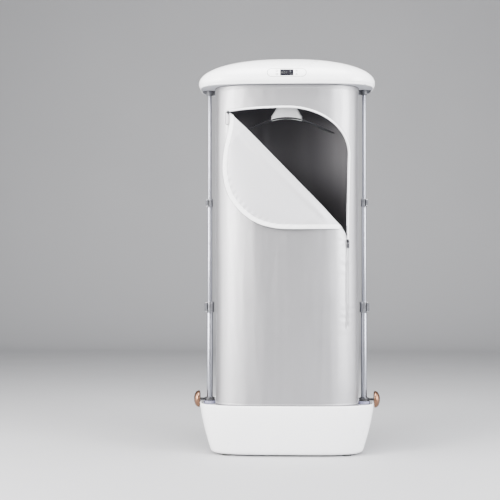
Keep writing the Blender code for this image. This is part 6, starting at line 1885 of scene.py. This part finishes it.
def makeNozzle():
    place, seat, radius = shift(0, deck["nozzleY"], 0), deck["top"] + 0.0003, nozzle["radius"]
    top, lip, pipeLow = seat + nozzle["height"], seat + nozzle["height"] * 0.35, deck["top"] - 0.020
    profile = [(0.006, pipeLow), (0.010, pipeLow), (0.010, seat), (radius - 0.0008, seat)]
    profile += [(radius, seat + 0.0008), (radius, lip)]
    for step in range(1, 9):
        turn = math.pi / 2 * step / 8
        profile.append((0.0234 + 0.0126 * math.cos(turn), lip + (top - lip) * math.sin(turn)))
    profile += [(0.010, top), (0.006, top - 0.00315)]
    body, slots = turned("steamNozzle", profile, "satinGrey", 72, True, place), bmesh.new()
    for turn in around(nozzle["slots"], 0.5):
        addBox(slots, (0.014, -0.00175, lip), (0.08, 0.00175, top + 0.004), place @ spin(turn, "Z"))
    standFor(softenEdges(cut(body, slots), 0.0003), "base")


boiler = {
    "spot": (-0.125, -0.075, 0.062), "radius": 0.036, "half": 0.070, "flange": 0.006, "width": 0.008, "ribs": 3,
}
pump = {"spot": (0.110, -0.045, 0.040), "radius": 0.020, "length": 0.060, "head": 0.044, "spoutEnd": 0.0397}


def makeBoiler():
    x, y, z = boiler["spot"]
    place, half, radius = shift(x, y, z) @ spin(math.pi / 2, "Y"), boiler["half"], boiler["radius"]
    flange, reach, ribs = radius + boiler["flange"], boiler["width"] / 2, boiler["ribs"]
    profile = [(0, -half), (radius - 0.004, -half), (radius, -half + 0.004)]
    for index in range(1, ribs + 1):
        middle = -half + 2 * half / (ribs + 1) * index
        near, far = middle - reach, middle + reach
        profile += [(radius, near), (flange - 0.0008, near), (flange, near + 0.0008)]
        profile += [(flange, far - 0.0008), (flange - 0.0008, far), (radius, far)]
    profile += [(radius, half - 0.004), (radius - 0.004, half), (0, half)]
    body = turned("steamGenerator", profile, "castMetal", 64, place=place)
    saddles = (x - half * 0.55, x + half * 0.55)
    unite(body, *((addBox, (at - 0.006, y - 0.028, 0.0096), (at + 0.006, y + 0.028, z)) for at in saddles))
    standFor(softenEdges(body, 0.0006), "base")
    # bolts through the middle flange, and the two heater terminals
    bolts, ends, bolt = bmesh.new(), bmesh.new(), [circle(0.0026, height, 6) for height in (0.0, 0.0022)]
    for spot in spread(around(6, 0.25), flange - 0.0034, flange - 0.0034, -reach - 0.0022):
        addRings(bolts, bolt, place @ spot)
    ride(newPiece("boilerBolts", bolts, "steel"), "base")
    end = ((0.0045, 0.0), (0.0045, 0.004), (0.0016, 0.004), (0.0016, 0.010))
    for across in (-0.014, 0.014):
        addTurned(ends, end, 24, place @ shift(0, across, -half - 0.010) @ upsideDown @ shift(z=-0.010))
    ride(newPiece("boilerTerminals", ends, "brass"), "base")


def makePump():
    (x, y, z), radius, length, half = pump["spot"], pump["radius"], pump["length"], pump["head"] / 2
    profile = [(0, 0), (radius, 0), (radius, length * 0.28)]
    for index in range(5):
        near = length * (0.32 + 0.10 * index)
        profile += [(radius, near), (radius - 0.0012, near + 0.0008)]
        profile += [(radius - 0.0012, near + 0.0030), (radius, near + 0.0038)]
    profile += [(radius, length - 0.0015), (radius - 0.0015, length), (0, length)]
    body = turned("waterPump", profile, "black", 56, place=shift(x, y, z) @ spin(math.pi / 2, "X"))
    unite(body, (addBox, (x - half - 0.0015, y - half, 0.0096), (x + half + 0.0015, y + half, z + half)))
    spout = [(0.0039, 0), (0.0045, 0.0008), (0.0045, 0.006), (0.0039, 0.0068)]
    spout += [(0.0045, 0.0076), (0.0045, 0.084)]
    place = shift(x, pump["spoutEnd"], z) @ spin(math.pi / 2, "X")
    unite(body, (addTurned, spout, 28, place))
    standFor(softenEdges(body, 0.0005), "base")


def makeHose(name, start, leave, end, enter, radius):
    # leaves start along one way and comes into end along the other
    first = Vector(start) + Vector(leave).normalized() * radius
    last = Vector(end) + Vector(enter).normalized() * radius
    out, into, points = first + Vector(leave), last + Vector(enter), [Vector(start)]
    for step in range(49):
        t = step / 48
        s = 1 - t
        points.append(first * s ** 3 + out * 3 * s * s * t + into * 3 * s * t * t + last * t ** 3)
    points.append(Vector(end))
    line = bpy.data.curves.new(name, "CURVE")
    line.dimensions, line.bevel_depth, line.bevel_resolution, line.use_fill_caps = "3D", radius, 6, True
    spline = line.splines.new("POLY")
    spline.points.add(len(points) - 1)
    for knot, point in zip(spline.points, points):
        knot.co = (*point, 1)
    line.materials.append(finishes["silicone"])
    piece = standFor(linked(name, line), "base")
    length = sum((after - before).length for before, after in zip(points, points[1:]))


def makeHoses():
    (x, y, z), (pumpX, pumpY, pumpZ), arm, half = boiler["spot"], pump["spot"], 0.055, boiler["half"]
    makeHose("waterHose", (pumpX - pump["head"] / 2 - 0.0018, pumpY, pumpZ), (-arm, 0, 0),
             (x + half + 0.0003, y, z), (arm, 0, 0), 0.0045)
    makeHose("steamHose", (x + half / (boiler["ribs"] + 1), y, z + boiler["radius"] + 0.0003), (0, 0, arm),
             (0, deck["nozzleY"], deck["top"] - 0.0203), (0, 0, -arm), 0.006)


inlet = {"halfWidth": 0.014, "halfHeight": 0.011, "flange": 0.003, "pinPitch": 0.0070, "pinRaise": 0.0030}


def makeInlet():
    x, z, wide, high = base["inletX"], base["inletZ"], inlet["halfWidth"], inlet["halfHeight"]
    flange = inlet["flange"]
    wall = base["halfDepth"] - baseInset(z + high + flange)
    wall *= (1 - (abs(x) / base["halfWidth"]) ** base["power"]) ** (1 / base["power"])

    def outlineOf(halfX, halfZ, corner):
        return roundedBox(halfX, halfZ, corner, 6, (x, z))

    block = meshOf((addFrontPrism, outlineOf(wide, high, 0.003), wall - 0.024, wall + 0.002))
    body = newPiece("powerInlet", block, "black")
    unite(body, (addFrontPrism, outlineOf(wide + flange, high + flange, 0.004), wall + 0.0003, wall + 0.002))
    cut(body, (addFrontPrism, outlineOf(wide - 0.002, high - 0.002, 0.0035), wall - 0.022, wall + 0.05))
    standFor(softenEdges(body, 0.0005), "base")
    pins, corners = bmesh.new(), boxCorners(-1, 1, -1, 1)
    for index in (-1, 0, 1):
        pinX, pinZ = x + index * inlet["pinPitch"], z + (index == 0) * inlet["pinRaise"]
        levels = ((-0.0225, 0.0011, 0.0030), (-0.0082, 0.0011, 0.0030), (-0.0070, 0.0006, 0.0022))
        rings = [[(pinX + across * w, wall + y, pinZ + up * h) for across, up in corners] for y, w, h in levels]
        addRings(pins, rings)
    ride(newPiece("inletPins", pins, "brass"), "base")


makeDeck()
makeFloor()
makeNozzle()
makeBoiler()
makePump()
makeHoses()
makeInlet()
print("base works ready")

# blower, heater and board in the lid
fan = {
    "radius": 0.078, "height": 0.046, "wall": 0.0025, "flange": 0.008, "shaft": 0.003,
    "motorRadius": 0.026, "motorHeight": 0.030, "motorSlots": 10,
    "wheel": 0.062, "hubDepth": 0.008, "blades": 11, "sweep": math.radians(24),
}


def makeBlower():
    low, wall, radius, shaft = traySeat, fan["wall"], fan["radius"], fan["shaft"] + 0.0003
    top, inner = low + fan["height"], radius - wall
    profile = [(inner, low), (radius + fan["flange"], low), (radius + fan["flange"], low + wall)]
    profile += [(radius + 0.001, low + wall), (radius, low + wall + 0.001), (radius, top - 0.006)]
    profile += [(radius - 0.002, top - 0.002), (radius - 0.006, top), (shaft, top), (shaft, top - wall)]
    profile += [(inner - 0.004, top - wall), (inner, top - wall - 0.004)]
    standFor(softenEdges(turned("fanHousing", profile, "black", 72, True), 0.0004), "lid")
    addScrews("fanScrews", "lid", spread(around(4, 0.5), radius + 0.0045, radius + 0.0045, low + wall), 0.0026)
    makeMotor(top + 0.0003, top - wall - 0.004 - fan["hubDepth"])
    makeWheel(top - wall - 0.004, shaft)


def makeMotor(foot, hubLow):
    radius, head, shaft = fan["motorRadius"], foot + fan["motorHeight"], fan["shaft"]
    profile = [(0, hubLow + 0.0003), (shaft, hubLow + 0.0003), (shaft, foot)]
    profile += [(radius, foot), (radius, foot + 0.008)]
    profile += [(radius - 0.0006, foot + 0.0086), (radius - 0.0006, foot + 0.0092), (radius, foot + 0.0098)]
    profile += [(radius, head - 0.004), (radius - 0.0012, head - 0.0012), (radius - 0.004, head), (0, head)]
    motor, slots = turned("fanMotor", profile, "steel", 56), bmesh.new()
    for turn in around(fan["motorSlots"]):
        addBox(slots, (0.010, -0.0014, head - 0.0012), (0.021, 0.0014, head + 0.004), spin(turn, "Z"))
    standFor(softenEdges(cut(motor, slots), 0.0003), "lid")


def makeWheel(top, shaft):
    low, hubLow, hub, radius = top - 0.002, top - fan["hubDepth"], shaft + 0.004, fan["wheel"]
    profile = [(shaft, top), (radius, top), (radius, low), (hub, low), (hub, hubLow), (shaft, hubLow)]
    wheel, blades = turned("fanImpeller", profile, "black", 64, True), bmesh.new()
    for start in around(fan["blades"]):
        rings = []
        for step in range(9):
            share = step / 8
            out = radius * (0.62 + 0.375 * share)
            turn, half = start + fan["sweep"] * share * share, 0.0008 / out
            corners = boxCorners(turn - half, turn + half, low - 0.022, low + 0.001)
            rings.append([(out * math.cos(angle), out * math.sin(angle), level) for angle, level in corners])
        addRings(blades, rings)
    standFor(unite(wheel, blades), "impeller")


heater = {"depth": 0.028, "slots": 7, "rim": 0.006, "waves": 9}


def makeHeater():
    halfWidth, halfDepth = duct["neck"] - duct["wall"] - 0.0003, duct["depth"] - duct["wall"] - 0.0003
    high, rim = traySeat + duct["wall"], heater["rim"]
    low = high - heater["depth"]
    rings = [ductRing(halfWidth, halfDepth, z) for z in (low, high)]
    block = lofted("airHeater", rings, "castMetal", creaseDegrees=30)
    pitch = 2 * (halfWidth - rim) / heater["slots"]
    slots, coils = bmesh.new(), bmesh.new()
    for index in range(heater["slots"]):
        x, deep = -(halfWidth - rim) + pitch * (index + 0.5), halfDepth - rim
        addBox(slots, (x - pitch / 4, -deep, low - 0.004), (x + pitch / 4, deep, high + 0.004))
        # a corrugated ribbon runs the length of each slot
        ribbon = []
        for step in range(61):
            part = step / 60
            y = -halfDepth + 0.0068 + (2 * halfDepth - 0.0136) * part
            middle = x + math.sin(part * tau * heater["waves"]) * pitch * 0.15
            corners = boxCorners(middle - 0.00025, middle + 0.00025, low + 0.006, high - 0.006)
            ribbon.append([(across, y, up) for across, up in corners])
        addRings(coils, ribbon)
    standFor(softenEdges(cut(block, slots), 0.0004), "lid")
    ride(newPiece("heaterRibbons", coils, "brass"), "lid")


board = {
    "y": -0.136, "stand": 0.005, "thick": 0.0016, "half": (0.060, 0.020), "chips": (-0.5, 0, 0.5),
    "capacitors": ((-0.046, 0.010), (-0.015, 0.014), (0.015, 0.014), (0.046, 0.010), (0.046, -0.006)),
}


def makeControlBoard():
    y, low, (halfX, halfY) = board["y"], traySeat + board["stand"], board["half"]
    top = low + board["thick"]
    mesh = meshOf((addPrism, roundedBox(halfX, halfY, 0.003, 5, (0, y)), low, top))
    for across in (-1, 1):
        for along in (-1, 1):
            place = shift(across * (halfX - 0.006), y + along * (halfY - 0.006))
            addRings(mesh, [circle(0.003, z, 20) for z in (traySeat, low + 0.0003)], place)
    standFor(newPiece("controlBoard", mesh, "board"), "lid")
    chips, legs, caps = bmesh.new(), bmesh.new(), bmesh.new()
    for share in board["chips"]:
        x = share * halfX
        addBox(chips, (x - 0.008, y - 0.006, top + 0.0004), (x + 0.008, y + 0.006, top + 0.003))
        for step in range(8):
            for side in (-1, 1):
                legX, legY = x - 0.007 + 0.002 * step, y + side * 0.0070
                addBox(legs, (legX - 0.0004, legY - 0.0011, top), (legX + 0.0004, legY + 0.0011, top + 0.0010))
    for x, along in board["capacitors"]:
        profile = ((0.0036, top), (0.0036, top + 0.0062), (0.0030, top + 0.0068))
        addTurned(caps, profile, 24, shift(x, y + along * 0.8))
    addBox(caps, (-0.040, y - 0.0185, top), (-0.022, y - 0.0125, top + 0.0055))
    ride(softenEdges(newPiece("boardChips", chips, "black"), 0.0003), "lid")
    ride(newPiece("boardLegs", legs, "steel"), "lid")
    ride(softenEdges(newPiece("boardParts", caps, "tape"), 0.0003), "lid")


makeBlower()
makeHeater()
makeControlBoard()
print("lid works ready")
